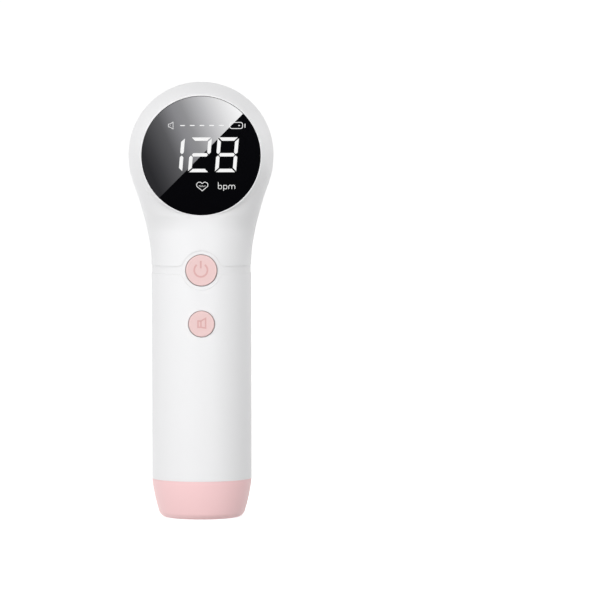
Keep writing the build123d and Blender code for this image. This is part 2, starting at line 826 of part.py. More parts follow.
# ================================================================ the assembly
parts["head_shell"] = head_shell()
parts["waist_ring"] = waist_ring()
parts["grip_shell"] = grip_shell()
parts["probe_cap"] = probe_cap()
parts["cap_seal"] = cap_seal()
transducer()
parts["power_button"] = key(power_key_radius, power_key_height, waist_radius, power_seat)
parts["sound_button"] = key(sound_key_radius, sound_key_height, grip_radius, sound_seat)
switch("power", power_key_height)
switch("sound", sound_key_height)
parts["chassis"] = chassis()
parts["main_board"] = main_board()
parts["board_chips"] = board_chips()
parts["board_screws"] = screws_along_y(board_screw_points(), board_front, board_screw_length)
parts["neck_screws"] = neck_screws()
parts["battery_pack"] = battery_pack()
parts["battery_tape"] = battery_tape()
parts["port_board"] = port_board()
charging_socket()
parts["earphone_jack"] = earphone_jack()
parts["display_lens"] = bar(lens_radius, -display_set_out, -lens_back, z=head_z)
parts["lens_tape"] = bar(lens_radius, -lens_back, -ledge_front, z=head_z)
parts["lens_tape"] -= bar(lens_radius - lens_tape_width, -far, 0, z=head_z)
parts["display_reflector"] = display_reflector()
parts["led_chips"] = led_chips()
parts["display_board"] = display_board()
parts["display_screws"] = screws_along_y(post_points(), display_board_front, screw_length)
parts["display_ribbon"] = display_ribbon()
loudspeaker()

os.makedirs("parts", exist_ok=True)
for name, shape in parts.items():
    export_step(shape, "parts/" + name + ".step")
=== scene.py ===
from math import atan2, cos, pi, radians, sin, sqrt, tan

import bpy
import numpy as np
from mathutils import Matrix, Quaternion, Vector


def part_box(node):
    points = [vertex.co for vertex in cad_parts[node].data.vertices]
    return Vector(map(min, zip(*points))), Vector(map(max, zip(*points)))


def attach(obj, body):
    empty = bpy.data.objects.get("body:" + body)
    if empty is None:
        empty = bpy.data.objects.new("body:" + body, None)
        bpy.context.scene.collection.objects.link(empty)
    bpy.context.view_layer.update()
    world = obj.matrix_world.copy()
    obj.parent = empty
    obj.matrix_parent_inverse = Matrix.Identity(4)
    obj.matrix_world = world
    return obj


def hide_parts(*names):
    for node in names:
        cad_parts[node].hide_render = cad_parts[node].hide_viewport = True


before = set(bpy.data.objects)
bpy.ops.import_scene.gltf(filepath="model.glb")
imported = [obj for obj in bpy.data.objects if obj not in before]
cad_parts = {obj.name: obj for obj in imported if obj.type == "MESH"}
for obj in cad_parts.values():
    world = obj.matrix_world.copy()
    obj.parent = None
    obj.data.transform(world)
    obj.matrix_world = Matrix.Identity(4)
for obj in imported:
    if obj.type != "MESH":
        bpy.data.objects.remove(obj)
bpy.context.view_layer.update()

bl_info = {
    "name": "Heartbeat monitor finishes",
    "version": (1, 0, 0),
    "blender": (4, 5, 0),
    "location": "View3D > Sidebar > Monitor",
    "description": "Fine shells, display marks, finishes and studio for a hand-held fetal doppler monitor",
    "category": "Object",
}

MM = 0.001

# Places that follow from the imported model.
head_low, head_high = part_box("head_shell")
ring_low, ring_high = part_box("waist_ring")
grip_low, grip_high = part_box("grip_shell")
cap_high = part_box("probe_cap")[1]
lens_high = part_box("display_lens")[1]
head_radius = head_high.x
head_z = head_high.z - head_radius
display_y = head_low.y
grip_radius = grip_high.x
seam_z = grip_low.z


def middle(node):
    """Height of the middle of a CAD node's box."""
    low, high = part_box(node)
    return (low.z + high.z) / 2


power_z = middle("power_button")
sound_z = middle("sound_button")
jack_z = middle("earphone_jack")
socket_z = middle("charging_socket_shell")

# Sizes of what the shells hide or frame: walls, fits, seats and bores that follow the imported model.
shell_wall = 2.0 * MM
band_low = 84.4 * MM
band_high = 87.1 * MM
lens_gap = 0.05 * MM
tape = 0.3 * MM
mouth_radius = 18.6 * MM
ledge = 1.5 * MM
collar_radius = 12.05 * MM
collar_wall = 1.2 * MM
collar_lip = 1.25 * MM
post_circle = 15.8 * MM
post_radius = 2.0 * MM
pilot_radius = 1.02 * MM
pilot_depth = 6.3 * MM
shelf_low = 95.0 * MM
shelf_high = 97.0 * MM
shelf_bore = 10.2 * MM
clearance = 0.3 * MM
ring_bore = 13.4 * MM
spigot_radius = 15.15 * MM
boss_circle = 11.6 * MM
boss_radius = 2.1 * MM
boss_height = 8.6 * MM
power_seat = 13.9 * MM
sound_seat = 14.6 * MM
seat_margin = 1.0 * MM
flange = 1.0 * MM
key_foot = 1.5 * MM
cap_face = 1.3 * MM
cap_bore = 12.5 * MM
cap_spigot_bore = 13.0 * MM
cap_step = 2.0 * MM
groove_low = 2.4 * MM
groove_high = 4.4 * MM
groove_depth = 1.3 * MM
socket_gap = 0.15 * MM
socket_wall = 0.3 * MM
socket_floor = 1.2 * MM
jack_bore = 1.8 * MM
jack_nose = 2.9 * MM
jack_depth = 14.0 * MM
nose_length = 2.7 * MM

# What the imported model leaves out: the tongue's contact pads on each side, the jack's springs, the level
# dashes on the display.
pads = 12
pad_width = 0.28 * MM
pad_pitch = 0.5 * MM
pad_rise = 0.02 * MM
spring_length = 2.0 * MM
dashes = 5

# How far a tool runs past the face that it cuts.
spare = 1.0 * MM
# Points that are this near to a piece's widest place belong to its rim.
rim_slack = 0.05 * MM
# Points nearer to a turning axis than this lie on it.
on_axis = 0.000001 * MM
# Steps along the arc of a small edge, and round the pieces that show, the hidden ones and the screws.
edge_steps = 4
outer_steps = 320
inner_steps = 128
screw_steps = 48
# Edges that turn by more than this stay crisp in the shading.
crease = radians(28)
# Least cosine at a mitred corner, so that a sharp one doesn't run out into a spike.
mitre_limit = 0.4
# Halvings that find a skin to well under a micrometre.
halvings = 34

# How the neck runs into the head. Squaring starts at a share of the neck's rise and takes another share;
# above its top the neck closes over a share of the head's radius, but never beyond the least share.
square_start = 0.35
square_rise = 0.45
closing = 0.9
least_shrink = 0.02
# How late the neck's back and its front curve out, as powers of the height.
back_power = 3
front_power = 8
# Share of the soft blend that is left at the lip, least fall of a direction that can meet the neck's foot,
# and how much the rows crowd towards the lip.
least_blend = 0.02
least_drop = 0.000001
crowding = 1.25


# ------------------------------------------------------------------ settings
def length(name, text, value):
    """A length property, given in millimetres."""
    settings = {"default": value * MM, "unit": "LENGTH", "precision": 5}
    return bpy.props.FloatProperty(name=name, description=text, **settings)


def angle(name, text, degrees):
    return bpy.props.FloatProperty(name=name, description=text, default=radians(degrees), subtype="ANGLE")


def share(name, text, value):
    return bpy.props.FloatProperty(name=name, description=text, default=value)


def number(name, text, value):
    return bpy.props.IntProperty(name=name, description=text, default=value, min=3)


def tint(name, text, value):
    """A colour held as an sRGB hex string."""
    return bpy.props.StringProperty(name=name, description=text, default=value)


class HeadSettings(bpy.types.PropertyGroup):
    set_back: length("Set back", "How far the widest circle lies behind the grip's axis", 2.45)
    rim_radius: length("Rim radius", "Outer radius of the lip round the display", 20.7)
    lip_round: length("Lip round", "Radius of the lip's edges", 0.13)
    neck_top: length("Neck top", "How far below the head's centre the neck's sides run out", 5.5)
    side_sink: length("Side sink", "How far inside the head the neck's sides end", 0.45)
    back_sink: share("Back sink", "Slope of the neck's back into the head above its runout", 0.12)
    back_runout: angle("Back runout", "Where the neck's back runs out, below the head's centre", 38)
    squarer: share("Squareness", "How much squarer than an ellipse the neck's front gets", 1.1)
    flare: length("Front flare", "How far the neck's front leans out to meet the lip", 0.58)
    blend: length("Blend", "Size of the soft blend between neck and head", 1.6)
    blend_angle: angle("Blend angle", "Over this angle from the lip the blend grows to its full size", 12)
    core_spread: length("Core spread", "How much the neck's hollow widens to each side", 4.6)
    core_height: length("Core height", "Height over which it widens", 25.0)
    grille_hole: length("Grille hole", "Radius of a grille hole", 0.9)
    grille_pitch: length("Grille pitch", "Distance between rings of grille holes", 3.2)
    columns: number("Columns", "Faces round the display's axis", 320)
    rows: number("Rows", "Faces from the lip to the rear", 190)


class BodySettings(bpy.types.PropertyGroup):
    band_radius: length("Band radius", "Radius of the recessed band at the waist", 17.0)
    band_gap: length("Band gap", "Width of the parting lines along the band", 0.03)
    eye: length("Eye", "Radius of the round eye about the power key", 6.75)
    eye_blend: length("Eye blend", "Radius where the eye runs into the band", 2.4)
    edge: length("Edge", "Radius of the edges at the cap's seam", 0.12)
    toe: length("Toe", "Radius where the cap's side would meet the foot", 14.15)
    bulge: length("Bulge", "How far the cap's side bows outwards", 0.4)
    foot: length("Foot", "Radius of the foot's corner", 3.0)
    support: length("Support", "Width of the flat ring that the foot's corner runs into", 0.3)


class KeySettings(bpy.types.PropertyGroup):
    power_radius: length("Power key", "Radius of the power key", 5.3)
    sound_radius: length("Sound key", "Radius of the sound key", 4.4)
    gap: length("Gap", "Gap round a key", 0.2)
    edge: length("Edge", "Radius of a key's edge", 0.35)
    line: length("Line", "Width of the power sign's sunk line; a smaller key has a finer one", 0.58)
    sink: length("Sink", "Depth of the sunk signs", 0.14)


class DisplaySettings(bpy.types.PropertyGroup):
    inset: length("Inset", "How far the lens lies behind the lip", 0.05)
    edge: length("Edge", "Radius of the lens's edge", 0.06)
    rise: length("Rise", "Thickness of the lit marks", 0.025)
    height: length("Digit height", "Height of a digit", 11.85)
    width: length("Digit width", "Width of a digit", 7.2)
    pitch: length("Digit pitch", "Distance from digit to digit", 9.18)
    shift: length("Digit shift", "How far the middle digit lies off the display's centre", -0.37)
    lift: length("Digit lift", "Height of the digits' middle above the display's centre", 0.28)
    slant: angle("Slant", "Lean of the digits", 4.9)
    upright: length("Upright", "Width of the upright segments", 1.2)
    level: length("Level", "Width of the level segments", 1.15)
    gap: length("Gap", "Gap between two segments", 0.5)
    fine: length("Fine line", "Line width of the small signs", 0.22)
    dash: length("Dash", "Length of a level dash", 1.6)
    dash_height: length("Dash height", "Height of a level dash", 0.34)
    dash_start: length("Dash start", "Place of the first dash from the display's centre", -6.27)
    dash_pitch: length("Dash pitch", "Distance from dash to dash", 3.3)
    dash_lift: length("Dash lift", "Height of the dashes above the display's centre", 10.27)


class FinishSettings(bpy.types.PropertyGroup):
    shell: tint("Shell", "White ABS of the two shells", "#F3F3F4")
    band: tint("Band", "White ABS of the recessed band", "#F1F1F2")
    cap: tint("Cap", "Rose ABS of the probe cap", "#FDD2D3")
    key: tint("Keys", "Rose ABS of the keys", "#EFCECC")
    # The key marks' darker rose is painted shade: it stands in for the shade inside the sunk signs.
    mark: tint("Key marks", "Darker rose painted in the sunk signs as their shade", "#E5B5B3")
    glass: tint("Glass", "Black print behind the lens", "#06060A")
    lit: tint("Lit marks", "White LED light", "#FFFFFF")


# ------------------------------------------------------------------ materials
def linear(text):
    """Linear colour of an sRGB hex string."""
    parts = [int(text[i : i + 2], 16) / 255 for i in (1, 3, 5)]
    values = [c / 12.92 if c <= 0.04045 else ((c + 0.055) / 1.055) ** 2.4 for c in parts]
    return (*values, 1.0)


def dimmed(rgba, factor):
    return (*(c * factor for c in rgba[:3]), 1.0)


def add_node(tree, kind, settings=None, links=None):
    """Adds a node, sets its attributes or its sockets by name or number, and links its inputs."""
    node = tree.nodes.new(kind)
    for key, value in (settings or {}).items():
        if isinstance(key, str) and hasattr(node, key):
            setattr(node, key, value)
        else:
            node.inputs[key].default_value = value
    for key, source in (links or {}).items():
        tree.links.new(source, node.inputs[key])
    return node


def shaded(name, **values):
    """A material with one Principled shader and constants on its own sockets."""
    material = bpy.data.materials.new(name)
    material.use_nodes = True
    shader = material.node_tree.nodes["Principled BSDF"]
    for key, value in values.items():
        shader.inputs[key.replace("_", " ")].default_value = value
    return material, material.node_tree, shader


def noise(tree, size_mm, detail=2.0, stretch=None):
    """Noise in the object's own space, with features of about the given size."""
    place = add_node(tree, "ShaderNodeTexCoord").outputs["Object"]
    if stretch:
        place = add_node(tree, "ShaderNodeMapping", {"Scale": stretch}, {"Vector": place}).outputs["Vector"]
    settings = {"Scale": 1 / (size_mm * MM), "Detail": detail}
    return add_node(tree, "ShaderNodeTexNoise", settings, {"Vector": place}).outputs["Fac"]


def vary(tree, shader, factor, tones=None, **ranges):
    """Lets one noise mix the shader's base colour from two tones and move other sockets within ranges."""
    if tones:
        mix = add_node(tree, "ShaderNodeMix", {"data_type": "RGBA", 6: tones[0], 7: tones[1]}, {0: factor})
        tree.links.new(mix.outputs[2], shader.inputs["Base Color"])
    for key, (low, high) in ranges.items():
        span = add_node(tree, "ShaderNodeMapRange", {"To Min": low, "To Max": high}, {"Value": factor})
        tree.links.new(span.outputs["Result"], shader.inputs[key.replace("_", " ")])


def relief(tree, shader, strength, depth_mm, height):
    settings = {"Strength": strength, "Distance": depth_mm * MM}
    bump = add_node(tree, "ShaderNodeBump", settings, {"Height": height})
    tree.links.new(bump.outputs["Normal"], shader.inputs["Normal"])


def moulded_plastic(name, hex_colour, roughness=0.42):
    """Moulded plastic: the tool's spark-eroded grain softens highlights, and the pigment drifts a little.

    The real grain is about 0.05 mm wide; it is drawn coarser so that it still reads."""
    material, tree, shader = shaded(name, IOR=1.53)
    base = linear(hex_colour)
    grain = noise(tree, size_mm=0.3, detail=3.0)
    vary(tree, shader, noise(tree, size_mm=18), (dimmed(base, 0.985), base))
    vary(tree, shader, grain, Roughness=(roughness - 0.04, roughness + 0.04))
    relief(tree, shader, strength=0.3, depth_mm=0.006, height=grain)
    return material


def polished_window(name, hex_colour):
    """Polished acrylic with black print on its back: a mirror face over a deep black."""
    material, tree, shader = shaded(name, IOR=1.49)
    base = linear(hex_colour)
    vary(tree, shader, noise(tree, size_mm=6), (dimmed(base, 0.7), base), Roughness=(0.0, 0.006))
    return material


def lit_resin(name, hex_colour, strength):
    """Cast diffusing resin lit from behind by LEDs: an even white glow, a touch dimmer in places."""
    material, tree, shader = shaded(name, Roughness=0.4, IOR=1.5, Emission_Color=linear(hex_colour))
    tones = (linear("#808080"), linear("#8A8A8A"))
    vary(tree, shader, noise(tree, size_mm=2.5), tones, Emission_Strength=(strength * 0.95, strength * 1.05))
    return material


def worked_metal(name, hex_colour, roughness, grain_mm, stretch=None):
    """Metal with the fine direction that rolling, plating or turning leaves in its sheen."""
    material, tree, shader = shaded(name, Metallic=1.0)
    base = linear(hex_colour)
    grain = noise(tree, grain_mm, 3.0, stretch)
    vary(tree, shader, grain, (dimmed(base, 0.86), base), Roughness=(roughness - 0.06, roughness + 0.06))
    return material


def matt_solid(name, hex_colour, roughness, grain_mm, contrast=0.12):
    """Pressed, printed, fired or foamed stuff: a dull face whose tone breaks up at its own grain size."""
    material, tree, shader = shaded(name, IOR=1.5)
    base = linear(hex_colour)
    grain = noise(tree, grain_mm, detail=4.0)
    tones = (dimmed(base, 1 - contrast), base)
    vary(tree, shader, grain, tones, Roughness=(roughness - 0.05, roughness + 0.05))
    relief(tree, shader, strength=0.4, depth_mm=0.02, height=grain)
    return material


def finish_nodes(material, *names):
    """Gives CAD nodes a procedural material."""
    for name in names:
        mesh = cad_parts[name].data
        mesh.materials.clear()
        mesh.materials.append(material)


# ------------------------------------------------------------------ mesh tools
def placeholder():
    """Stands in for a material while a mesh is being cut."""
    return bpy.data.materials.get("placeholder") or bpy.data.materials.new("placeholder")


def mesh_from(name, points, faces):
    mesh = bpy.data.meshes.new(name)
    mesh.from_pydata([tuple(p) for p in points], [], faces)
    mesh.materials.append(placeholder())
    return mesh


def put(name, mesh, body, materials, slot, *replaced):
    """Shows a finished mesh as a piece that rides on a body and stands for CAD nodes."""
    thing = bpy.data.objects.new(name, mesh)
    bpy.context.scene.collection.objects.link(thing)
    for i, material in enumerate(materials):
        if i < len(mesh.materials):
            mesh.materials[i] = material
        else:
            mesh.materials.append(material)
    mesh.shade_smooth()
    mesh.set_sharp_from_angle(angle=crease)
    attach(thing, body)
    if replaced:
        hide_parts(*replaced)
    return thing


def outward(mesh):
    """Turns a closed mesh right side out."""
    mesh.calc_loop_triangles()
    points = np.empty(len(mesh.vertices) * 3, np.float32)
    mesh.vertices.foreach_get("co", points)
    corners = np.empty(len(mesh.loop_triangles) * 3, np.int32)
    mesh.loop_triangles.foreach_get("vertices", corners)
    a, b, c = points.reshape(-1, 3)[corners.reshape(-1, 3)].astype(float).transpose(1, 0, 2)
    if np.einsum("ij,ij->i", a, np.cross(b, c)).sum() < 0:
        mesh.flip_normals()
    return mesh


def ring_faces(rings, columns):
    """Faces between rings of points that close on themselves; a ring may be a single point."""
    faces = []
    for here, there in zip(rings, rings[1:]):
        for i in range(columns):
            j = (i + 1) % columns
            if len(here) == 1:
                faces.append((here[0], there[j], there[i]))
            elif len(there) == 1:
                faces.append((here[i], here[j], there[0]))
            else:
                faces.append((here[i], here[j], there[j], there[i]))
    return faces


def lathe(name, outline, steps=192, axis="Z", place=(0.0, 0.0)):
    """Closed solid turned from (radius, height) points about an upright axis or one that runs front to back.

    The axis stands at place, in X and Y or in X and Z. An outline that starts and ends on the axis stays
    open there; any other is closed into a ring."""
    points, rings = [], []
    for radius, height in outline:
        turns = [2 * pi * i / steps for i in range(steps if radius > on_axis else 1)]
        rings.append(list(range(len(points), len(points) + len(turns))))
        points += [(place[0] + radius * cos(a), place[1] + radius * sin(a), height) for a in turns]
    if axis == "Y":
        points = [(across, height, up) for across, up, height in points]
    if len(rings[0]) > 1:
        rings.append(rings[0])
    return outward(mesh_from(name, points, ring_faces(rings, steps)))


def rod(radius, front, back, x=0.0, z=0.0, steps=96):
    """Round bar from front to back."""
    return lathe("rod", [(0, front), (radius, front), (radius, back), (0, back)], steps, "Y", (x, z))


def oblong(left, low, right, high):
    """Corners of an upright oblong."""
    return [(left, low), (right, low), (right, high), (left, high)]


def ring(name, inner, outer, low, high, steps=192, place=(0.0, 0.0)):
    """Upright ring, or a disc where inner is 0, about an axis at place."""
    return lathe(name, oblong(inner, low, outer, high), steps, place=place)


def arc(centre, radius, start, end, steps):
    """Points along an arc; angles in radians."""
    turns = [start + (end - start) * i / steps for i in range(steps + 1)]
    return [(centre[0] + radius * cos(a), centre[1] + radius * sin(a)) for a in turns]


def on_circle(radius, total, first=0.0):
    """Points spread evenly round a circle."""
    return arc((0, 0), radius, first, first + 2 * pi, total)[:-1]


def loft(name, sections):
    """Closed solid through (y, outline) sections whose outlines in X and Z have as many points each."""
    total = len(sections[0][1])
    points = [(x, y, z) for y, outline in sections for x, z in outline]
    rings = [list(range(i * total, (i + 1) * total)) for i in range(len(sections))]
    faces = [tuple(rings[0]), tuple(reversed(rings[-1]))]
    for here, there in zip(rings, rings[1:]):
        faces += [(here[i], there[i], there[(i + 1) % total], here[(i + 1) % total]) for i in range(total)]
    return outward(mesh_from(name, points, faces))


def prism(name, outline, front, back):
    """Closed solid of an outline in X and Z between the planes y = front and y = back."""
    return loft(name, [(front, outline), (back, outline)])


def box(low, high):
    """Closed block between two corners."""
    return prism("box", oblong(low[0], low[2], high[0], high[2]), low[1], high[1])


def ribbon(name, line, width, front, back, closed=False):
    """Closed bar of even width along a line in X and Z, with mitred corners."""
    total = len(line)
    points = []
    for i in range(total):
        here = Vector(line[i])
        before = Vector(line[i - 1]) if closed or i else None
        after = Vector(line[(i + 1) % total]) if closed or i < total - 1 else None
        arriving = (here - before).normalized() if before else (after - here).normalized()
        leaving = (after - here).normalized() if after else arriving
        along = (arriving + leaving).normalized()
        side = Vector((-along.y, along.x))
        reach = width / 2 / max(side.dot(Vector((-leaving.y, leaving.x))), mitre_limit)
        for sign in (-1, 1):
            x, z = here + side * sign * reach
            points += [(x, front, z), (x, back, z)]
    faces = []
    for i in range(total if closed else total - 1):
        a, b = 4 * i, 4 * ((i + 1) % total)
        for first, second in ((0, 2), (2, 3), (3, 1), (1, 0)):
            faces.append((a + first, a + second, b + second, b + first))
    if not closed:
        last = 4 * (total - 1)
        faces += [(0, 1, 3, 2), (last, last + 2, last + 3, last + 1)]
    return outward(mesh_from(name, points, faces))


def joined(name, meshes):
    """One mesh from several."""
    points, faces, slots, total = [], [], [], 0
    for mesh in meshes:
        points += [tuple(v.co) for v in mesh.vertices]
        faces += [tuple(i + total for i in p.vertices) for p in mesh.polygons]
        slots += [p.material_index for p in mesh.polygons]
        total += len(mesh.vertices)
    whole = mesh_from(name, points, faces)
    for _ in range(max(slots)):
        whole.materials.append(placeholder())
    whole.polygons.foreach_set("material_index", slots)
    return whole


def cut(mesh, tool, operation="DIFFERENCE", slot=0):
    """Exact boolean of a mesh with a tool; the cut faces take the numbered slot."""
    while len(mesh.materials) <= slot:
        mesh.materials.append(placeholder())
    while len(tool.materials) < len(mesh.materials):
        tool.materials.append(placeholder())
    for polygon in tool.polygons:
        polygon.material_index = slot
    body = bpy.data.objects.new("body", mesh)
    cutter = bpy.data.objects.new("cutter", tool)
    for thing in (body, cutter):
        bpy.context.scene.collection.objects.link(thing)
    modifier = body.modifiers.new("cut", "BOOLEAN")
    modifier.operation = operation
    modifier.solver = "EXACT"
    modifier.material_mode = "INDEX"
    modifier.object = cutter
    result = bpy.data.meshes.new_from_object(body.evaluated_get(bpy.context.evaluated_depsgraph_get()))
    bpy.data.objects.remove(body)
    bpy.data.objects.remove(cutter)
    if not result.polygons:
        raise RuntimeError("nothing is left of " + mesh.name)
    return result


# ------------------------------------------------------------------ head
def ease(t, rise, end_slope):
    """Rises from 0 with no slope to rise with end_slope as t goes from 0 to 1."""
    return (3 * rise - end_slope) * t**2 + (end_slope - 2 * rise) * t**3


def front_bow(s):
    """Radius of the arc from the head's widest circle to the lip."""
    drop = head_radius - s.rim_radius
    return ((s.set_back - display_y) ** 2 + drop**2) / (2 * drop)


def ball_reach(polar, s, inset):
    """Distance from the head's centre to its round skin at an angle from the front."""
    offset = head_radius - front_bow(s)
    side = np.sin(polar) * offset
    front = side + np.sqrt(side**2 + (front_bow(s) - inset) ** 2 - offset**2)
    return np.where(polar < pi / 2, front, head_radius - inset)


def neck_size(x, y, z, s):
    """Below 1 inside the neck's skin and above 1 outside it."""
    top = head_z - s.neck_top
    rise = top - band_high
    t = np.clip((z - band_high) / rise, 0, 1)
    side_reach = sqrt(head_radius**2 - s.neck_top**2)
    half = grip_radius + ease(t, side_reach - s.side_sink - grip_radius, rise * s.neck_top / side_reach)
    meets = head_z - head_radius * sin(s.back_runout)
    swell = s.set_back + head_radius * cos(s.back_runout) - grip_radius
    lower = grip_radius + swell * np.clip((z - band_high) / (meets - band_high), 0, 1) ** back_power
    ball = s.set_back + np.sqrt(np.maximum(head_radius**2 - (head_z - z) ** 2, 0))
    back = np.where(z < meets, lower, ball - s.back_sink * (z - meets))
    lean = np.clip((z - band_high) / (head_z - s.rim_radius - band_high), 0, 1)
    front = grip_radius + s.flare * lean**front_power
    centre = s.set_back * t
    fullness = 2 + ease(np.clip((t - square_start) / square_rise, 0, 1), s.squarer, 0)
    over = np.clip(z - top, 0, None) / head_radius
    shrink = np.maximum(1 - (over / closing) ** 2, least_shrink)
    depth = y - centre
    reach = np.where(depth < 0, front + centre, back - centre) * shrink
    power = np.where(depth < 0, fullness, 2.0)
    return (np.abs(x) / (half * shrink)) ** power + (np.abs(depth) / reach) ** power + over**2


def core_size(x, y, z, s):
    """Below 1 inside the neck's hollow, which widens to the sides only."""
    foot = ring_high.z + lens_gap
    bore = grip_radius - shell_wall
    half = bore + s.core_spread * np.clip((z - foot) / s.core_height, 0, 1)
    above = np.clip(z - foot - s.core_height, 0, None) / s.core_height
    return np.maximum(np.hypot(x, y) / half, np.abs(y) / bore) + above


def reach_of(size, direction, s):
    """Distance from the head's centre along each direction to where size reaches 1."""
    low = np.zeros(direction.shape[1:])
    high = np.full(direction.shape[1:], 3 * head_radius)
    for _ in range(halvings):
        half = (low + high) / 2
        x, y, z = direction * half
        inside = size(x, s.set_back + y, head_z + z, s) < 1
        low = np.where(inside, half, low)
        high = np.where(inside, high, half)
    return low


def skin_rings(polar, around, s, inset, size, foot, blend):
    """Rings of the head's outer or inner skin, one for each polar angle."""
    polar_grid, around_grid = np.meshgrid(polar, around, indexing="ij")
    flat = np.sin(polar_grid)
    direction = np.array([flat * np.cos(around_grid), -np.cos(polar_grid), flat * np.sin(around_grid)])
    ball = ball_reach(polar_grid, s, inset)
    neck = reach_of(size, direction, s)
    soft = blend * np.clip((polar_grid - polar[0]) / s.blend_angle, least_blend, 1)
    near = np.maximum(soft - np.abs(ball - neck), 0) / soft
    reach = np.maximum(ball, neck) + near**2 * soft / 4
    reach = np.minimum(reach, (head_z - foot) / np.maximum(-direction[2], least_drop))
    centre = np.array([0.0, s.set_back, head_z])
    return (centre[:, None, None] + direction * reach).transpose(1, 2, 0)


def head_wall(s):
    """Head and neck as one wall: outer skin, lip, lens recess, mouth and inner skin in one run of rings."""
    around = np.linspace(0, 2 * pi, s.columns, endpoint=False)
    lens_wall = lens_high.x + lens_gap
    lip_y = display_y + s.lip_round
    floor_y = lens_high.y + tape
    ledge_y = floor_y + ledge
    start = atan2(s.rim_radius, s.set_back - lip_y)
    polar = start + (pi - start) * (np.arange(1, s.rows) / s.rows) ** crowding
    skin = skin_rings(polar, around, s, 0.0, neck_size, band_high - 2 * spare, s.blend)
    profile = arc((s.rim_radius - s.lip_round, lip_y), s.lip_round, 0, -pi / 2, edge_steps)
    profile += arc((lens_wall + s.lip_round, lip_y), s.lip_round, -pi / 2, -pi, edge_steps)
    profile += [(lens_wall, floor_y), (mouth_radius, floor_y), (mouth_radius, ledge_y)]
    bow = front_bow(s)
    inner_rim = head_radius - bow + sqrt((bow - shell_wall) ** 2 - (s.set_back - ledge_y) ** 2)
    profile.append((inner_rim, ledge_y))
    start = atan2(inner_rim, s.set_back - ledge_y)
    polar = start + (pi - start) * np.arange(1, s.rows // 2) / (s.rows // 2)
    lining = skin_rings(polar, around, s, shell_wall, core_size, band_high - 1.5 * spare, shell_wall / 8)
    points = [(0.0, s.set_back + head_radius, head_z)]
    points += skin[::-1].reshape(-1, 3).tolist()
    for radius, y in profile:
        points += [(radius * cos(a), y, head_z + radius * sin(a)) for a in around]
    points += lining.reshape(-1, 3).tolist()
    points.append((0.0, s.set_back + head_radius - shell_wall, head_z))
    total = len(skin) + len(profile) + len(lining)
    rings = [[0]] + [list(range(1 + i * s.columns, 1 + (i + 1) * s.columns)) for i in range(total)]
    rings.append([len(points) - 1])
    return outward(mesh_from("head_wall", points, ring_faces(rings, s.columns)))


def speaker_collar(s):
    """Seat for the loudspeaker on the inside of the head's back."""
    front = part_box("speaker_frame")[0].y
    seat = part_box("speaker_gasket")[1].y
    outer = collar_radius + collar_wall
    inner = collar_radius - collar_lip

    def wall_middle(radius):
        return s.set_back + sqrt((head_radius - shell_wall / 2) ** 2 - radius**2)

    outline = [(outer, front), (outer, wall_middle(outer)), (inner, wall_middle(inner))]
    outline += [(inner, seat), (collar_radius, seat), (collar_radius, front)]
    return lathe("collar", outline, inner_steps, "Y", (0, head_z))


def screw_post(x, z, s):
    """Post from the display board to the head's back, with a blind pilot hole."""
    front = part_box("display_board")[1].y
    back = s.set_back + head_radius
    foot = front + pilot_depth
    outline = [(0, foot), (pilot_radius, foot), (pilot_radius, front)]
    outline += [(post_radius, front), (post_radius, back), (0, back)]
    post = lathe("post", outline, screw_steps, "Y", (x, head_z + z))
    room = arc((0, s.set_back), head_radius - shell_wall / 2, -pi / 2, pi / 2, steps=48)
    room[0], room[-1] = (0, room[0][1]), (0, room[-1][1])
    return cut(post, lathe("room", room, 96, "Y", (0, head_z)), "INTERSECT")


def boss_places():
    """Places of the neck screws: the quarters of a circle but the front one, which the power key needs."""
    return on_circle(boss_circle, 4)[:3]


def neck_shelf():
    """Floor across the neck that the neck screws clamp on the waist ring."""
    shelf = ring("shelf", shelf_bore, grip_radius - shell_wall / 2, shelf_low, shelf_high, inner_steps)
    low, high = shelf_low - spare, shelf_high + spare
    board_low, board_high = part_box("main_board")
    switch_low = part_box("power_switch_case")[0]
    far_corner = (board_high.x + clearance, 0, high)
    shelf = cut(shelf, box((board_low.x - clearance, switch_low.y, low), far_corner))
    for place in boss_places():
        shelf = cut(shelf, ring("bore", 0, pilot_radius + clearance / 2, low, high, screw_steps, place))
    return shelf


def eye_edge(level, sign, gap, b):
    """Edge of the band from the right, round the fillet and over the eye to its highest or lowest point."""
    height = sign * (level - power_z) + b.eye_blend
    reach = sqrt((b.eye + b.eye_blend) ** 2 - height**2)
    turn = atan2(height, reach)
    line = arc((reach, height), b.eye_blend - gap, -pi / 2, turn - pi, steps=12)
    line += arc((0, 0), b.eye + gap, turn, pi / 2, steps=40)[1:]
    return [(x, power_z + sign * z) for x, z in line]


def mirrored(line):
    return [(-x, z) for x, z in line]


def upended(line):
    return [(x, -z) for x, z in line]


def band_room(b, gap=0.0):
    """Room of the band all round, widened into the eye at the front and, by the gap, beyond the band."""
    far = 2 * grip_radius
    high, low = band_high + gap, band_low - gap
    upper, lower = eye_edge(band_high, 1, gap, b), eye_edge(band_low, -1, gap, b)
    eye = [(far, high)] + upper + mirrored(upper)[-2::-1] + [(-far, high), (-far, low)]
    eye += mirrored(lower) + lower[-2::-1] + [(far, low)]
    plain = [(x, high if z > power_z else low) for x, z in eye]
    inside = grip_radius / 2
    return loft("band_room", [(-far, eye), (-inside, eye), (-inside + spare, plain), (far, plain)])


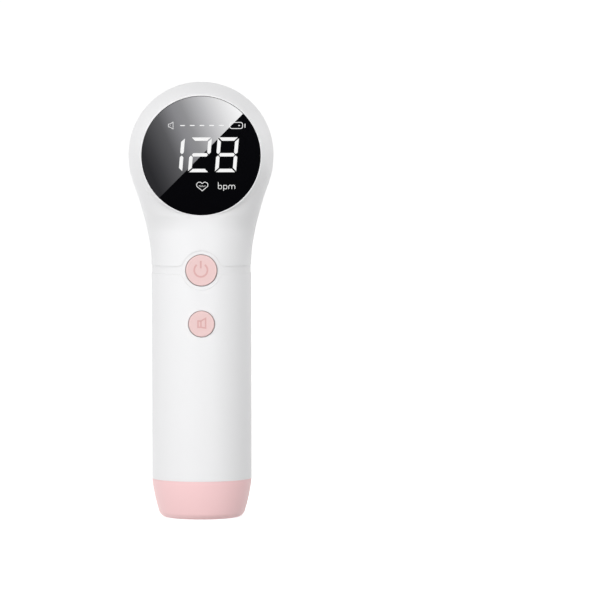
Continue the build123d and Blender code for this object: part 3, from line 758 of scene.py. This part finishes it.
class MONITOR_OT_head_shell(bpy.types.Operator):
    """Head shell: round head and neck in one wall, with lens recess, grille, posts and speaker seat"""

    bl_idname = "monitor.head_shell"
    bl_label = "Head shell"

    def execute(self, context):
        s, b = context.scene.monitor_head, context.scene.monitor_body
        wall = cut(head_wall(s), band_room(b, b.band_gap))
        holes = [(0.0, 0.0)] + on_circle(s.grille_pitch, 6) + on_circle(2 * s.grille_pitch, 12)
        back = s.set_back + head_radius
        front, back = back - 3 * shell_wall, back + shell_wall
        drills = [rod(s.grille_hole, front, back, x, head_z + z, 40) for x, z in holes]
        wall = cut(wall, joined("drills", drills))
        posts = [screw_post(x, z, s) for x, z in on_circle(post_circle, 4)]
        mesh = joined("head_shell_fine", [wall, speaker_collar(s), neck_shelf(), *posts])
        shell = moulded_plastic("White ABS, moulded, head", context.scene.monitor_finish.shell)
        put("head_shell_fine", mesh, "housing", [shell], "white_shell", "head_shell")
        return {"FINISHED"}


# ------------------------------------------------------------------ waist ring, grip and cap
class MONITOR_OT_waist_ring(bpy.types.Operator):
    """Waist ring: recessed band with the eye about the power key, spigots and screw bosses"""

    bl_idname = "monitor.waist_ring"
    bl_label = "Waist ring"

    def execute(self, context):
        b, k = context.scene.monitor_body, context.scene.monitor_keys
        hole = k.power_radius + k.gap
        low, high = power_z - 2 * b.eye, power_z + 2 * b.eye
        band = ring("band", (ring_bore + spigot_radius) / 2, b.band_radius, low, high, outer_steps)
        band = cut(band, band_room(b), "INTERSECT")
        band = cut(band, rod(hole, -2 * grip_radius, 0, z=power_z, steps=192))
        tube = ring("tube", ring_bore, spigot_radius, ring_low.z, ring_high.z)
        tube = cut(tube, rod(hole, -2 * grip_radius, 0, z=power_z))
        band, tube = (cut(mesh, rod(hole + flange, -power_seat, 0, z=power_z)) for mesh in (band, tube))
        foot, top = ring_high.z - boss_height, ring_high.z
        sizes = (pilot_radius, boss_radius, foot, top, screw_steps)
        bosses = [ring("boss", *sizes, place) for place in boss_places()]
        mesh = joined("waist_ring_fine", [band, tube, *bosses])
        material = moulded_plastic("White ABS, moulded, band", context.scene.monitor_finish.band)
        put("waist_ring_fine", mesh, "housing", [material], "waist_band", "waist_ring")
        return {"FINISHED"}


def charging_slot(spread, front, back):
    """Rounded room of the charging socket, grown by spread."""
    low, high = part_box("charging_socket_shell")
    radius = (high.z - low.z) / 2 + spread
    right = arc((high.x + spread - radius, 0), radius, -pi / 2, pi / 2, steps=24)
    outline = [(x, socket_z + z) for x, z in right + mirrored(upended(right))]
    return prism("slot", outline, front, back)


class MONITOR_OT_grip_shell(bpy.types.Operator):
    """Grip shell: round tube with the sound key's hole and seat, and the openings for the two sockets"""

    bl_idname = "monitor.grip_shell"
    bl_label = "Grip shell"

    def execute(self, context):
        b, k = context.scene.monitor_body, context.scene.monitor_keys
        bore, top, far = grip_radius - shell_wall, band_low + spare, 2 * grip_radius
        outline = [(bore, seam_z), (grip_radius - b.edge, seam_z)]
        outline += arc((grip_radius - b.edge, seam_z + b.edge), b.edge, -pi / 2, 0, edge_steps)[1:]
        outline += [(grip_radius, top), (bore, top)]
        tube = cut(lathe("tube", outline, outer_steps), band_room(b, b.band_gap))
        hole = k.sound_radius + k.gap
        pad = oblong(hole, -far, hole + flange + seat_margin, -sound_seat)
        pad = lathe("pad", pad, 96, "Y", (0, sound_z))
        pad = cut(pad, ring("keep", 0, bore + shell_wall / 2, 0, top, outer_steps), "INTERSECT")
        for tool in (
            rod(hole, -far, 0, z=sound_z, steps=192),
            rod(hole + flange, -sound_seat, 0, z=sound_z),
            charging_slot(socket_gap, 0, far),
            rod(jack_nose + socket_gap, 0, far, z=jack_z),
        ):
            tube = cut(tube, tool)
        mesh = joined("grip_shell_fine", [tube, pad])
        material = moulded_plastic("White ABS, moulded, grip", context.scene.monitor_finish.shell)
        put("grip_shell_fine", mesh, "housing", [material], "white_shell", "grip_shell")
        return {"FINISHED"}


class MONITOR_OT_probe_cap(bpy.types.Operator):
    """Probe cap: bowed side, round foot, flat face and a spigot with the seal's groove"""

    bl_idname = "monitor.probe_cap"
    bl_label = "Probe cap"

    def execute(self, context):
        b = context.scene.monitor_body
        toe, rim = Vector((b.toe, 0)), Vector((grip_radius, seam_z))
        chord = rim - toe
        bow = (chord.length**2 / 4 + b.bulge**2) / (2 * b.bulge)
        inward = Vector((-chord.y, chord.x)).normalized()
        centre = (toe + rim) / 2 + inward * (bow - b.bulge)
        foot_x = centre.x + sqrt((bow - b.foot) ** 2 - (b.foot - centre.y) ** 2)
        low_turn = atan2(b.foot - centre.y, foot_x - centre.x)
        high_turn = atan2(rim.y - centre.y - b.edge, rim.x - centre.x)
        outline = [(0, 0), (foot_x - b.support, 0)]
        outline += arc((foot_x, b.foot), b.foot, -pi / 2, low_turn, steps=20)
        outline += arc(centre, bow, low_turn, high_turn, steps=40)[1:]
        outline += arc((grip_radius - b.edge, seam_z - b.edge), b.edge, 0, pi / 2, edge_steps)[1:]
        outer, groove, top = spigot_radius, spigot_radius - groove_depth, cap_high.z
        low, high, step = seam_z + groove_low, seam_z + groove_high, seam_z - cap_step
        outline += [(outer, seam_z), (outer, low), (groove, low), (groove, high), (outer, high), (outer, top)]
        outline += [(cap_spigot_bore, top), (cap_spigot_bore, step), (cap_bore, step)]
        outline += [(cap_bore, cap_face), (0, cap_face)]
        mesh = lathe("probe_cap_fine", outline, outer_steps)
        material = moulded_plastic("Rose ABS, moulded, cap", context.scene.monitor_finish.cap)
        put("probe_cap_fine", mesh, "housing", [material], "rose_cap", "probe_cap")
        return {"FINISHED"}


# ------------------------------------------------------------------ keys
def in_place(line, height):
    """Points of a sign, given in millimetres from its middle, put at that height."""
    return [(x * MM, height + z * MM) for x, z in line]


def power_sign():
    """Ring with an upright bar in its opening; lines in millimetres, and whether each is closed."""
    start, sweep = radians(53), radians(286)
    open_ring = arc((-0.18, 0.1), 2.26, start, start - sweep, steps=36)
    return [(open_ring, False), ([(-0.2, 3.3), (-0.2, 0.75)], False)]


def sound_sign():
    """Loudspeaker seen from the side, with the line between its box and its horn."""
    speaker = [(-1.2, 1.05), (-0.2, 1.05), (1.4, 1.95), (1.4, -1.35), (-0.2, -1.1), (-1.2, -1.1)]
    return [(speaker, True), ([(-0.2, 0.8), (-0.2, -0.85)], False)]


def flange_y(node):
    """Back of a key's flange, which is the widest part of the CAD node."""
    points = [v.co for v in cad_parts[node].data.vertices]
    rim = max(point.x for point in points) - rim_slack
    return max(point.y for point in points if point.x > rim)


def key_mesh(node, radius, sign, k):
    """Round key with an eased edge, a flange, a foot and a sign sunk in its face."""
    low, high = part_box(node)
    z, back = middle(node), flange_y(node)
    outline = [(0, low.y), (radius - 1.5 * k.edge, low.y)]
    outline += arc((radius - k.edge, low.y + k.edge), k.edge, -pi / 2, 0, steps=6)
    outline += [(radius, back - flange), (radius + flange, back - flange)]
    outline += [(radius + flange, back), (key_foot, back), (key_foot, high.y), (0, high.y)]
    key = lathe(node, outline, axis="Y", place=(0, z))
    width = k.line * radius / k.power_radius
    for line, closed in sign:
        # The sunk faces take the second slot, whose darker rose is painted shade.
        tool = ribbon("sign", in_place(line, z), width, low.y - spare, low.y + k.sink, closed)
        key = cut(key, tool, slot=1)
    return key


class MONITOR_OT_keys(bpy.types.Operator):
    """Power key and sound key, each with its sign sunk and painted a darker rose as its shade"""

    bl_idname = "monitor.keys"
    bl_label = "Keys"

    def execute(self, context):
        k, finish = context.scene.monitor_keys, context.scene.monitor_finish
        rose = moulded_plastic("Rose ABS, moulded, keys", finish.key, roughness=0.4)
        # The sunk signs get a darker rose than the key face. That darker rose is painted shade in place of
        # the shade of their relief; only their rougher etched face is real.
        mark = matt_solid("Rose ABS, etched, key marks with painted shade", finish.mark, 0.55, 0.4, 0.05)
        for node, body, radius, sign in (
            ("power_button", "power_key", k.power_radius, power_sign()),
            ("sound_button", "sound_key", k.sound_radius, sound_sign()),
        ):
            put(node + "_fine", key_mesh(node, radius, sign, k), body, [rose, mark], "rose_keys", node)
        return {"FINISHED"}


# ------------------------------------------------------------------ display
class MONITOR_OT_display_lens(bpy.types.Operator):
    """Display lens: thick polished disc with a fine eased edge"""

    bl_idname = "monitor.display_lens"
    bl_label = "Display lens"

    def execute(self, context):
        d = context.scene.monitor_display
        front, radius = display_y + d.inset, lens_high.x
        outline = [(0, front), (radius - 2 * d.edge, front)]
        outline += arc((radius - d.edge, front + d.edge), d.edge, -pi / 2, 0, edge_steps)
        outline += [(radius, lens_high.y), (0, lens_high.y)]
        mesh = lathe("display_lens_fine", outline, outer_steps, "Y", (0, head_z))
        material = polished_window("Acrylic, polished, black printed", context.scene.monitor_finish.glass)
        put("display_lens_fine", mesh, "housing", [material], "display_window", "display_lens")
        return {"FINISHED"}


# How far the ends of a digit's segments stand back, as shares of half the gap: at the digit's corners, at
# the inner tips of the uprights, and at the tips and shoulders of the middle bar.
corner_back = 1.4
upright_back = 0.9
tip_back = 1.2
shoulder_back = 0.4


def digit(names, x, d):
    """Outlines of the named segments of one slanted digit, with mitred ends."""
    right, top = d.width / 2, d.height / 2
    gap, up, level = d.gap / 2, d.upright, d.level
    corner = gap * corner_back
    upper = [
        (right, top - corner),
        (right, level / 2 + gap),
        (right - up / 2, gap * upright_back),
        (right - up, level / 2 + gap),
        (right - up, top - level - corner),
    ]
    outer, inner = right - corner, right - up - corner
    flat = [(-outer, top), (outer, top), (inner, top - level), (-inner, top - level)]
    tip, end = right - up / 2 - gap * tip_back, right - up - gap * shoulder_back
    bar = [(tip, 0), (end, level / 2), (-end, level / 2)]
    shapes = {
        "top": flat,
        "middle": bar + mirrored(upended(bar)),
        "bottom": upended(flat),
        "upper_right": upper,
        "upper_left": mirrored(upper),
        "lower_right": upended(upper),
        "lower_left": mirrored(upended(upper)),
    }
    lean = tan(d.slant)
    return [[(x + px + pz * lean, d.lift + pz) for px, pz in shapes[name]] for name in names]


def rounded(left, low, right, high, radius):
    """Outline of a rounded oblong, anticlockwise from its upper right corner."""
    line = []
    centres = oblong(left + radius, low + radius, right - radius, high - radius)
    for i in range(4):
        line += arc(centres[(i + 2) % 4], radius, i * pi / 2, (i + 1) * pi / 2, steps=5)
    return line


def small_signs():
    """Lines of the small signs in millimetres from the display's centre, with a share of the fine line's
    width and whether each is closed."""
    speaker = [(-11.1, 9.85), (-11.1, 10.75), (-10.5, 10.85), (-9.5, 11.45), (-9.5, 9.1), (-10.5, 9.7)]
    heart = arc((1.32, -10.0), 0.97, radians(150), radians(-38), steps=14) + [(0.37, -12.0)]
    heart += [(0.74 - x, z) for x, z in heart[-2::-1]]
    pulse = [(-0.8, -10.45), (-0.4, -10.15), (-0.05, -10.6), (0.35, -10.25), (0.7, -10.6), (1.1, -10.35)]
    pulse.append((1.55, -10.35))
    letter_m = [(9.4, -11.4), (9.4, -10.45), (9.65, -10.1), (10.2, -10.1), (10.45, -10.45), (10.45, -11.4)]
    arch = [(10.45, -10.55), (10.75, -10.1), (11.25, -10.1), (11.5, -10.45), (11.5, -11.4)]
    signs = [
        (speaker, 0.75, True),
        ([(-10.5, 10.5), (-10.5, 10.2)], 0.75, False),
        (rounded(9.8, 9.2, 14.2, 11.3, 0.75), 1.0, True),
        ([(15.0, 9.5), (15.0, 10.85)], 1.15, False),
        ([(12.75, 10.25), (13.3, 10.25)], 1.3, False),
        (heart, 0.95, True),
        (pulse, 0.55, False),
    ]
    # The letters b and p: a stem and a bowl each.
    for left, stem_high, stem_low in ((5.85, -9.1, -11.25), (7.65, -10.0, -12.0)):
        signs.append(([(left, stem_high), (left, stem_low)], 0.85, False))
        signs.append((rounded(left, -11.35, left + 1.15, -10.1, 0.45), 0.85, True))
    return signs + [(letter_m, 0.85, False), (arch, 0.85, False)]


class MONITOR_OT_display_marks(bpy.types.Operator):
    """Lit marks: three digits, speaker, level dashes, battery, heart and unit"""

    bl_idname = "monitor.display_marks"
    bl_label = "Display marks"

    def execute(self, context):
        d = context.scene.monitor_display
        face = display_y + d.inset
        front, back = face - d.rise, face + d.rise
        one = ["upper_right", "lower_right"]
        two = ["top", "upper_right", "middle", "lower_left", "bottom"]
        eight = one + ["top", "middle", "bottom", "upper_left", "lower_left"]
        outlines = []
        for i, names in enumerate((one, two, eight)):
            outlines += digit(names, d.shift + (i - 1) * d.pitch, d)
        low = d.dash_lift - d.dash_height / 2
        for i in range(dashes):
            left = d.dash_start + i * d.dash_pitch - d.dash / 2
            outlines.append(oblong(left, low, left + d.dash, low + d.dash_height))
        placed = [[(x, head_z + z) for x, z in outline] for outline in outlines]
        meshes = [prism("segment", outline, front, back) for outline in placed]
        for line, width, closed in small_signs():
            meshes.append(ribbon("sign", in_place(line, head_z), d.fine * width, front, back, closed))
        glow = lit_resin("Diffusing resin, cast, LED lit", context.scene.monitor_finish.lit, strength=0.66)
        put("display_marks", joined("display_marks", meshes), "housing", [glow], "led")
        return {"FINISHED"}


# ------------------------------------------------------------------ sockets
def contact_pads():
    """Pads on both faces of the charging socket's tongue."""
    low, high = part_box("charging_socket_tongue")
    meshes = []
    for i in range(pads):
        left = (i - (pads - 1) / 2) * pad_pitch - pad_width / 2
        for face in (low.z, high.z):
            far_corner = (left + pad_width, high.y - 2 * pad_width, face + pad_rise)
            meshes.append(box((left, low.y, face - pad_rise), far_corner))
    return joined("charging_pads", meshes)


def jack_body():
    """Block with a round nose, both bored for the plug."""
    low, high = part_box("earphone_jack")
    shoulder = high.y - nose_length
    block = box(low, (high.x, shoulder, high.z))
    block = cut(block, rod(jack_bore, high.y - jack_depth, high.y + spare, z=jack_z))
    edge = socket_wall / 2
    nose = [(jack_bore, shoulder), (jack_nose, shoulder)]
    nose += arc((jack_nose - edge, high.y - edge), edge, 0, pi / 2, edge_steps)
    nose += arc((jack_bore + edge, high.y - edge), edge, pi / 2, pi, edge_steps)
    return joined("earphone_jack_fine", [block, lathe("nose", nose, inner_steps, "Y", (0, jack_z))])


def jack_springs():
    """Three contacts that stand into the bore, each at a share of its depth."""
    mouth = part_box("earphone_jack")[1].y
    circle = jack_bore - socket_wall / 3
    springs = []
    for (x, z), share_in in zip(on_circle(circle, 3, pi / 2), (0.35, 0.6, 0.8)):
        front = mouth - jack_depth * share_in
        springs.append(rod(socket_wall, front, front + spring_length, x, jack_z + z, 24))
    return joined("jack_springs", springs)


class MONITOR_OT_sockets(bpy.types.Operator):
    """Charging socket with its tongue and pads, and the earphone jack with its contact springs"""

    bl_idname = "monitor.sockets"
    bl_label = "Sockets"

    def execute(self, context):
        low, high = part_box("charging_socket_shell")
        shell = charging_slot(0, low.y, high.y)
        shell = cut(shell, charging_slot(-socket_wall, low.y + socket_floor, high.y + spare))
        steel = worked_metal("Stainless steel, drawn, sockets", "#B9BABC", 0.28, 0.3, (1.0, 8.0, 8.0))
        gold = worked_metal("Gold plated copper, contacts", "#D8B36A", 0.25, 0.2)
        black = moulded_plastic("Black nylon, moulded, tongue", "#1B1B1D", 0.5)
        dull = moulded_plastic("Black nylon, moulded, jack", "#222224", 0.45)
        tongue = box(*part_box("charging_socket_tongue"))
        put("charging_socket_fine", shell, "housing", [steel], "socket_steel", "charging_socket_shell")
        put("charging_tongue_fine", tongue, "housing", [black], "socket_tongue", "charging_socket_tongue")
        put("charging_pads", contact_pads(), "housing", [gold], "socket_steel")
        put("earphone_jack_fine", jack_body(), "housing", [dull], "jack", "earphone_jack")
        put("jack_springs", jack_springs(), "housing", [gold], "socket_steel")
        return {"FINISHED"}


# ------------------------------------------------------------------ inner parts
# Finishes of the inner pieces: maker, name, colour, the maker's other values and the CAD nodes.
boards = ["display_board", "main_board", "port_board"]
screws = ["display_screws", "neck_screws", "board_screws"]
plungers = ["power_switch_plunger", "sound_switch_plunger"]
switches = ["power_switch_case", "sound_switch_case"]
crystals = ["transmit_crystal", "receive_crystal"]
inner_finishes = [
    (matt_solid, "Glass epoxy board, solder masked", "#1F5E3A", (0.38, 0.6), boards),
    (worked_metal, "Steel, zinc plated, screws", "#C9CBCE", (0.32, 0.15), screws),
    (matt_solid, "Acrylic foam tape, die cut", "#2A2A2C", (0.8, 0.15, 0.3), ["lens_tape", "battery_tape"]),
    (moulded_plastic, "White PC, moulded, light box", "#EFEFEA", (0.5,), ["display_reflector"]),
    (matt_solid, "LED chips, phosphor coated", "#F1E9B8", (0.5, 0.2), ["led_chips"]),
    (matt_solid, "Polyimide film, laminated, ribbon", "#C8782A", (0.3, 0.8), ["display_ribbon"]),
    (worked_metal, "Steel, stamped, speaker frame", "#A9ABAE", (0.38, 0.5), ["speaker_frame"]),
    (matt_solid, "Paper, pressed, speaker cone", "#2B2B2D", (0.85, 0.25, 0.35), ["speaker_cone"]),
    (matt_solid, "Ferrite, sintered, magnet", "#3A3B3D", (0.6, 0.3), ["speaker_magnet"]),
    (matt_solid, "Foam, die cut, gasket", "#1E1E1F", (0.9, 0.2, 0.35), ["speaker_gasket"]),
    (moulded_plastic, "Grey ABS, moulded, chassis", "#9A9CA0", (0.5,), ["chassis"]),
    (matt_solid, "Epoxy, moulded, chips", "#1C1C1E", (0.55, 0.1), ["board_chips"]),
    (matt_solid, "Black PBT, moulded, switch cases", "#18181A", (0.5, 0.2), switches),
    (moulded_plastic, "White POM, moulded, plungers", "#E8E6DF", (0.35,), plungers),
    (worked_metal, "Aluminium laminate, pouch cell", "#C3C6CA", (0.35, 1.2), ["battery_pack"]),
    (matt_solid, "Silicone, moulded, seal", "#C9CACC", (0.6, 0.4), ["cap_seal"]),
    (matt_solid, "Filled epoxy, cast, matching layer", "#9C8F7A", (0.6, 0.15), ["matching_layer"]),
    (matt_solid, "Piezo ceramic, fired and lapped", "#D9C9A3", (0.5, 0.1), crystals),
    (matt_solid, "Cork rubber, cut, divider", "#6B4A32", (0.9, 0.3, 0.4), ["crystal_divider"]),
    (matt_solid, "Loaded epoxy, cast, backing", "#4A4B50", (0.7, 0.3), ["backing_block"]),
    (worked_metal, "Nickel silver, drawn, cup", "#B7B4AC", (0.3, 0.4), ["transducer_cup"]),
    (worked_metal, "Copper, tinned, leads", "#C6BFB6", (0.3, 0.3), ["transducer_leads"]),
]


class MONITOR_OT_inner_parts(bpy.types.Operator):
    """Finishes of the pieces inside the housing"""

    bl_idname = "monitor.inner_parts"
    bl_label = "Inner parts"

    def execute(self, context):
        for make, name, colour, values, nodes in inner_finishes:
            finish_nodes(make(name, colour, *values), *nodes)
        return {"FINISHED"}


# ------------------------------------------------------------------ studio
# Soft boxes: name, place and power in watts. All are square and aimed at about the monitor's middle.
soft_boxes = [
    ("key_left", (-0.95, -1.5, 0.6), 3.5),
    ("front_top", (0.15, -1.11, 1.45), 11.1),
    ("rim_right", (1.1, 1.1, 0.4), 2.6),
    ("fill_right", (0.65, -1.6, 0.1), 3.1),
]
soft_box_side = 0.8
soft_box_aim = Vector((0, 0, 0.08))

# The floor reaches in front of the monitor, far behind it and to both sides.
floor_corners = [(-2, -0.5, 0), (2, -0.5, 0), (2, 3, 0), (-2, 3, 0)]

# The lens mirrors a dark card and, before it, a lit one: the upper left half of a square. Its glow follows
# X plus a share of the height above its middle, from one place to another.
dark_card_y = -2.1
dark_card_outline = oblong(-0.6, -0.4, 0.6, 0.6)
card_half = 0.08
card_y = -2.0
card_z = 0.0791
card_lean = 0.45
card_from, card_to = -0.0418, 0.0425
card_power = 25.5
card_ends = ("#2B2B2D", "#F7F7F8")
card_tones = [
    (0.095, "#3C3C3E"),
    (0.27, "#5A5A5C"),
    (0.43, "#87878A"),
    (0.52, "#919193"),
    (0.68, "#B9B9BB"),
    (0.86, "#E1E1E2"),
]

# Strength of the white that the camera sees, and of the light that is cast: at eye level and from above,
# times its share on the left and on the right, between two places along X.
white_seen = 1.04
cast_level, cast_above = 1.15, 0.3
cast_left, cast_right = 1.0, 0.42
fade_from, fade_to = 0.3, 0.8

camera_place = Vector((0.0, -1.75, 0.165))
camera_aim = Vector((0.03398, 0.0, 0.07473))
camera_roll = radians(-0.11)
camera_lens = 304.9
camera_sensor = 36.0


def sheet(name, corners, material):
    """Flat sheet of the studio through corners given in order."""
    mesh = mesh_from(name, corners, [tuple(range(len(corners)))])
    mesh.materials[0] = material
    thing = bpy.data.objects.new(name, mesh)
    bpy.context.scene.collection.objects.link(thing)
    return thing


def light_table():
    """Opal acrylic sheet lit from below: an even white that swallows all but the faintest shadow."""
    name = "Opal acrylic, cast, lit from below"
    material, tree, shader = shaded(name, IOR=1.49, Emission_Color=linear("#FFFFFF"))
    tones = (linear("#F2F2F2"), linear("#F6F6F6"))
    cloud = noise(tree, size_mm=60)
    vary(tree, shader, cloud, tones, Roughness=(0.85, 0.95), Emission_Strength=(0.6, 0.62))
    return material


def soft_box(name, place, power):
    light = bpy.data.lights.new(name, "AREA")
    light.shape, light.size, light.size_y, light.energy = "RECTANGLE", soft_box_side, soft_box_side, power
    lamp = bpy.data.objects.new(name, light)
    lamp.location = place
    lamp.rotation_euler = (soft_box_aim - Vector(place)).to_track_quat("-Z", "Y").to_euler()
    lamp.visible_camera = False
    bpy.context.scene.collection.objects.link(lamp)


def lit_card():
    """Silk on a light box, brighter towards one corner: what the polished lens mirrors."""
    material = bpy.data.materials.new("Silk screen, back lit")
    material.use_nodes = True
    tree = material.node_tree
    tree.nodes.clear()
    place = add_node(tree, "ShaderNodeTexCoord").outputs["Object"]
    parts = add_node(tree, "ShaderNodeSeparateXYZ", links={"Vector": place}).outputs
    settings = {"operation": "SUBTRACT", 1: card_z}
    height = add_node(tree, "ShaderNodeMath", settings, {0: parts["Z"]}).outputs["Value"]
    settings = {"operation": "MULTIPLY", 1: card_lean}
    tilt = add_node(tree, "ShaderNodeMath", settings, {0: height}).outputs["Value"]
    along = add_node(tree, "ShaderNodeMath", {"operation": "ADD"}, {0: parts["X"], 1: tilt}).outputs["Value"]
    settings = {"From Min": card_from, "From Max": card_to}
    span = add_node(tree, "ShaderNodeMapRange", settings, {"Value": along}).outputs["Result"]
    ramp = add_node(tree, "ShaderNodeValToRGB", links={"Fac": span})
    elements = ramp.color_ramp.elements
    for end, tone in zip(elements, card_ends):
        end.color = linear(tone)
    for stop, tone in card_tones:
        elements.new(stop).color = linear(tone)
    links = {"Color": ramp.outputs["Color"]}
    glow = add_node(tree, "ShaderNodeEmission", {"Strength": card_power}, links).outputs["Emission"]
    add_node(tree, "ShaderNodeOutputMaterial", links={"Surface": glow})
    return material


def surround():
    """White to the eye; as light, it fades with height and towards the right."""
    world = bpy.data.worlds.new("White surround")
    world.use_nodes = True
    tree = world.node_tree
    tree.nodes.clear()
    ray = add_node(tree, "ShaderNodeLightPath").outputs["Is Camera Ray"]
    toward = add_node(tree, "ShaderNodeTexCoord").outputs["Generated"]
    parts = add_node(tree, "ShaderNodeSeparateXYZ", links={"Vector": toward}).outputs
    rise = add_node(tree, "ShaderNodeMath", {"operation": "ABSOLUTE"}, {0: parts["Z"]}).outputs["Value"]
    settings = {"To Min": cast_level, "To Max": cast_above}
    wall = add_node(tree, "ShaderNodeMapRange", settings, {"Value": rise}).outputs["Result"]
    settings = {"From Min": fade_from, "From Max": fade_to, "To Min": cast_left, "To Max": cast_right}
    side = add_node(tree, "ShaderNodeMapRange", settings, {"Value": parts["X"]}).outputs["Result"]
    level = add_node(tree, "ShaderNodeMath", {"operation": "MULTIPLY"}, {0: wall, 1: side}).outputs["Value"]
    white = {"Color": (1, 1, 1, 1)}
    cast = add_node(tree, "ShaderNodeBackground", white, {"Strength": level}).outputs[0]
    seen = add_node(tree, "ShaderNodeBackground", {**white, "Strength": white_seen}).outputs[0]
    mix = add_node(tree, "ShaderNodeMixShader", links={0: ray, 1: cast, 2: seen}).outputs[0]
    add_node(tree, "ShaderNodeOutputWorld", links={"Surface": mix})
    return world


def camera_eye():
    camera = bpy.data.cameras.new("Camera")
    camera.lens, camera.sensor_width = camera_lens, camera_sensor
    eye = bpy.data.objects.new("Camera", camera)
    eye.location = camera_place
    turn = (camera_aim - camera_place).to_track_quat("-Z", "Y")
    eye.rotation_euler = (turn @ Quaternion((0, 0, 1), camera_roll)).to_euler()
    bpy.context.scene.collection.objects.link(eye)
    return eye


class MONITOR_OT_stage(bpy.types.Operator):
    """Studio: pale floor, white surround, soft boxes, dark flag, mirrored card and camera"""

    bl_idname = "monitor.stage"
    bl_label = "Studio"

    def execute(self, context):
        floor = sheet("floor", floor_corners, light_table())
        floor.visible_diffuse = False
        felt = matt_solid("Black felt, cut, card", "#060606", 0.95, 2.0, 0.3)
        corners = [(x, dark_card_y, z) for x, z in dark_card_outline]
        square = oblong(-card_half, card_z - card_half, card_half, card_z + card_half)
        half = [(x, card_y, z) for x, z in square[:1] + square[2:]]
        for card in (sheet("dark_card", corners, felt), sheet("lit_card", half, lit_card())):
            card.visible_camera = False
        for name, place, power in soft_boxes:
            soft_box(name, place, power)
        scene = context.scene
        scene.world = surround()
        scene.camera = camera_eye()
        scene.view_settings.view_transform = "Standard"
        return {"FINISHED"}


# ------------------------------------------------------------------ registration
class MONITOR_PT_panel(bpy.types.Panel):
    bl_label = "Heartbeat monitor"
    bl_idname = "MONITOR_PT_panel"
    bl_space_type = "VIEW_3D"
    bl_region_type = "UI"
    bl_category = "Monitor"

    def draw(self, context):
        for name in groups:
            section = self.layout.box()
            section.label(text=name.replace("_", " ").title())
            settings = getattr(context.scene, name)
            for key in settings.__annotations__:
                section.prop(settings, key)
        for operator in operators:
            self.layout.operator(operator.bl_idname)


groups = {
    "monitor_head": HeadSettings,
    "monitor_body": BodySettings,
    "monitor_keys": KeySettings,
    "monitor_display": DisplaySettings,
    "monitor_finish": FinishSettings,
}
operators = [
    MONITOR_OT_head_shell,
    MONITOR_OT_waist_ring,
    MONITOR_OT_grip_shell,
    MONITOR_OT_probe_cap,
    MONITOR_OT_keys,
    MONITOR_OT_display_lens,
    MONITOR_OT_display_marks,
    MONITOR_OT_sockets,
    MONITOR_OT_inner_parts,
    MONITOR_OT_stage,
]


def register():
    for each in (*groups.values(), *operators, MONITOR_PT_panel):
        bpy.utils.register_class(each)
    for name, group in groups.items():
        setattr(bpy.types.Scene, name, bpy.props.PointerProperty(type=group))


def unregister():
    for name in groups:
        delattr(bpy.types.Scene, name)
    for each in reversed((*groups.values(), *operators, MONITOR_PT_panel)):
        bpy.utils.unregister_class(each)


def main():
    register()
    for operator in operators:
        family, name = operator.bl_idname.split(".")
        getattr(getattr(bpy.ops, family), name)()


if __name__ == "__main__":
    main()
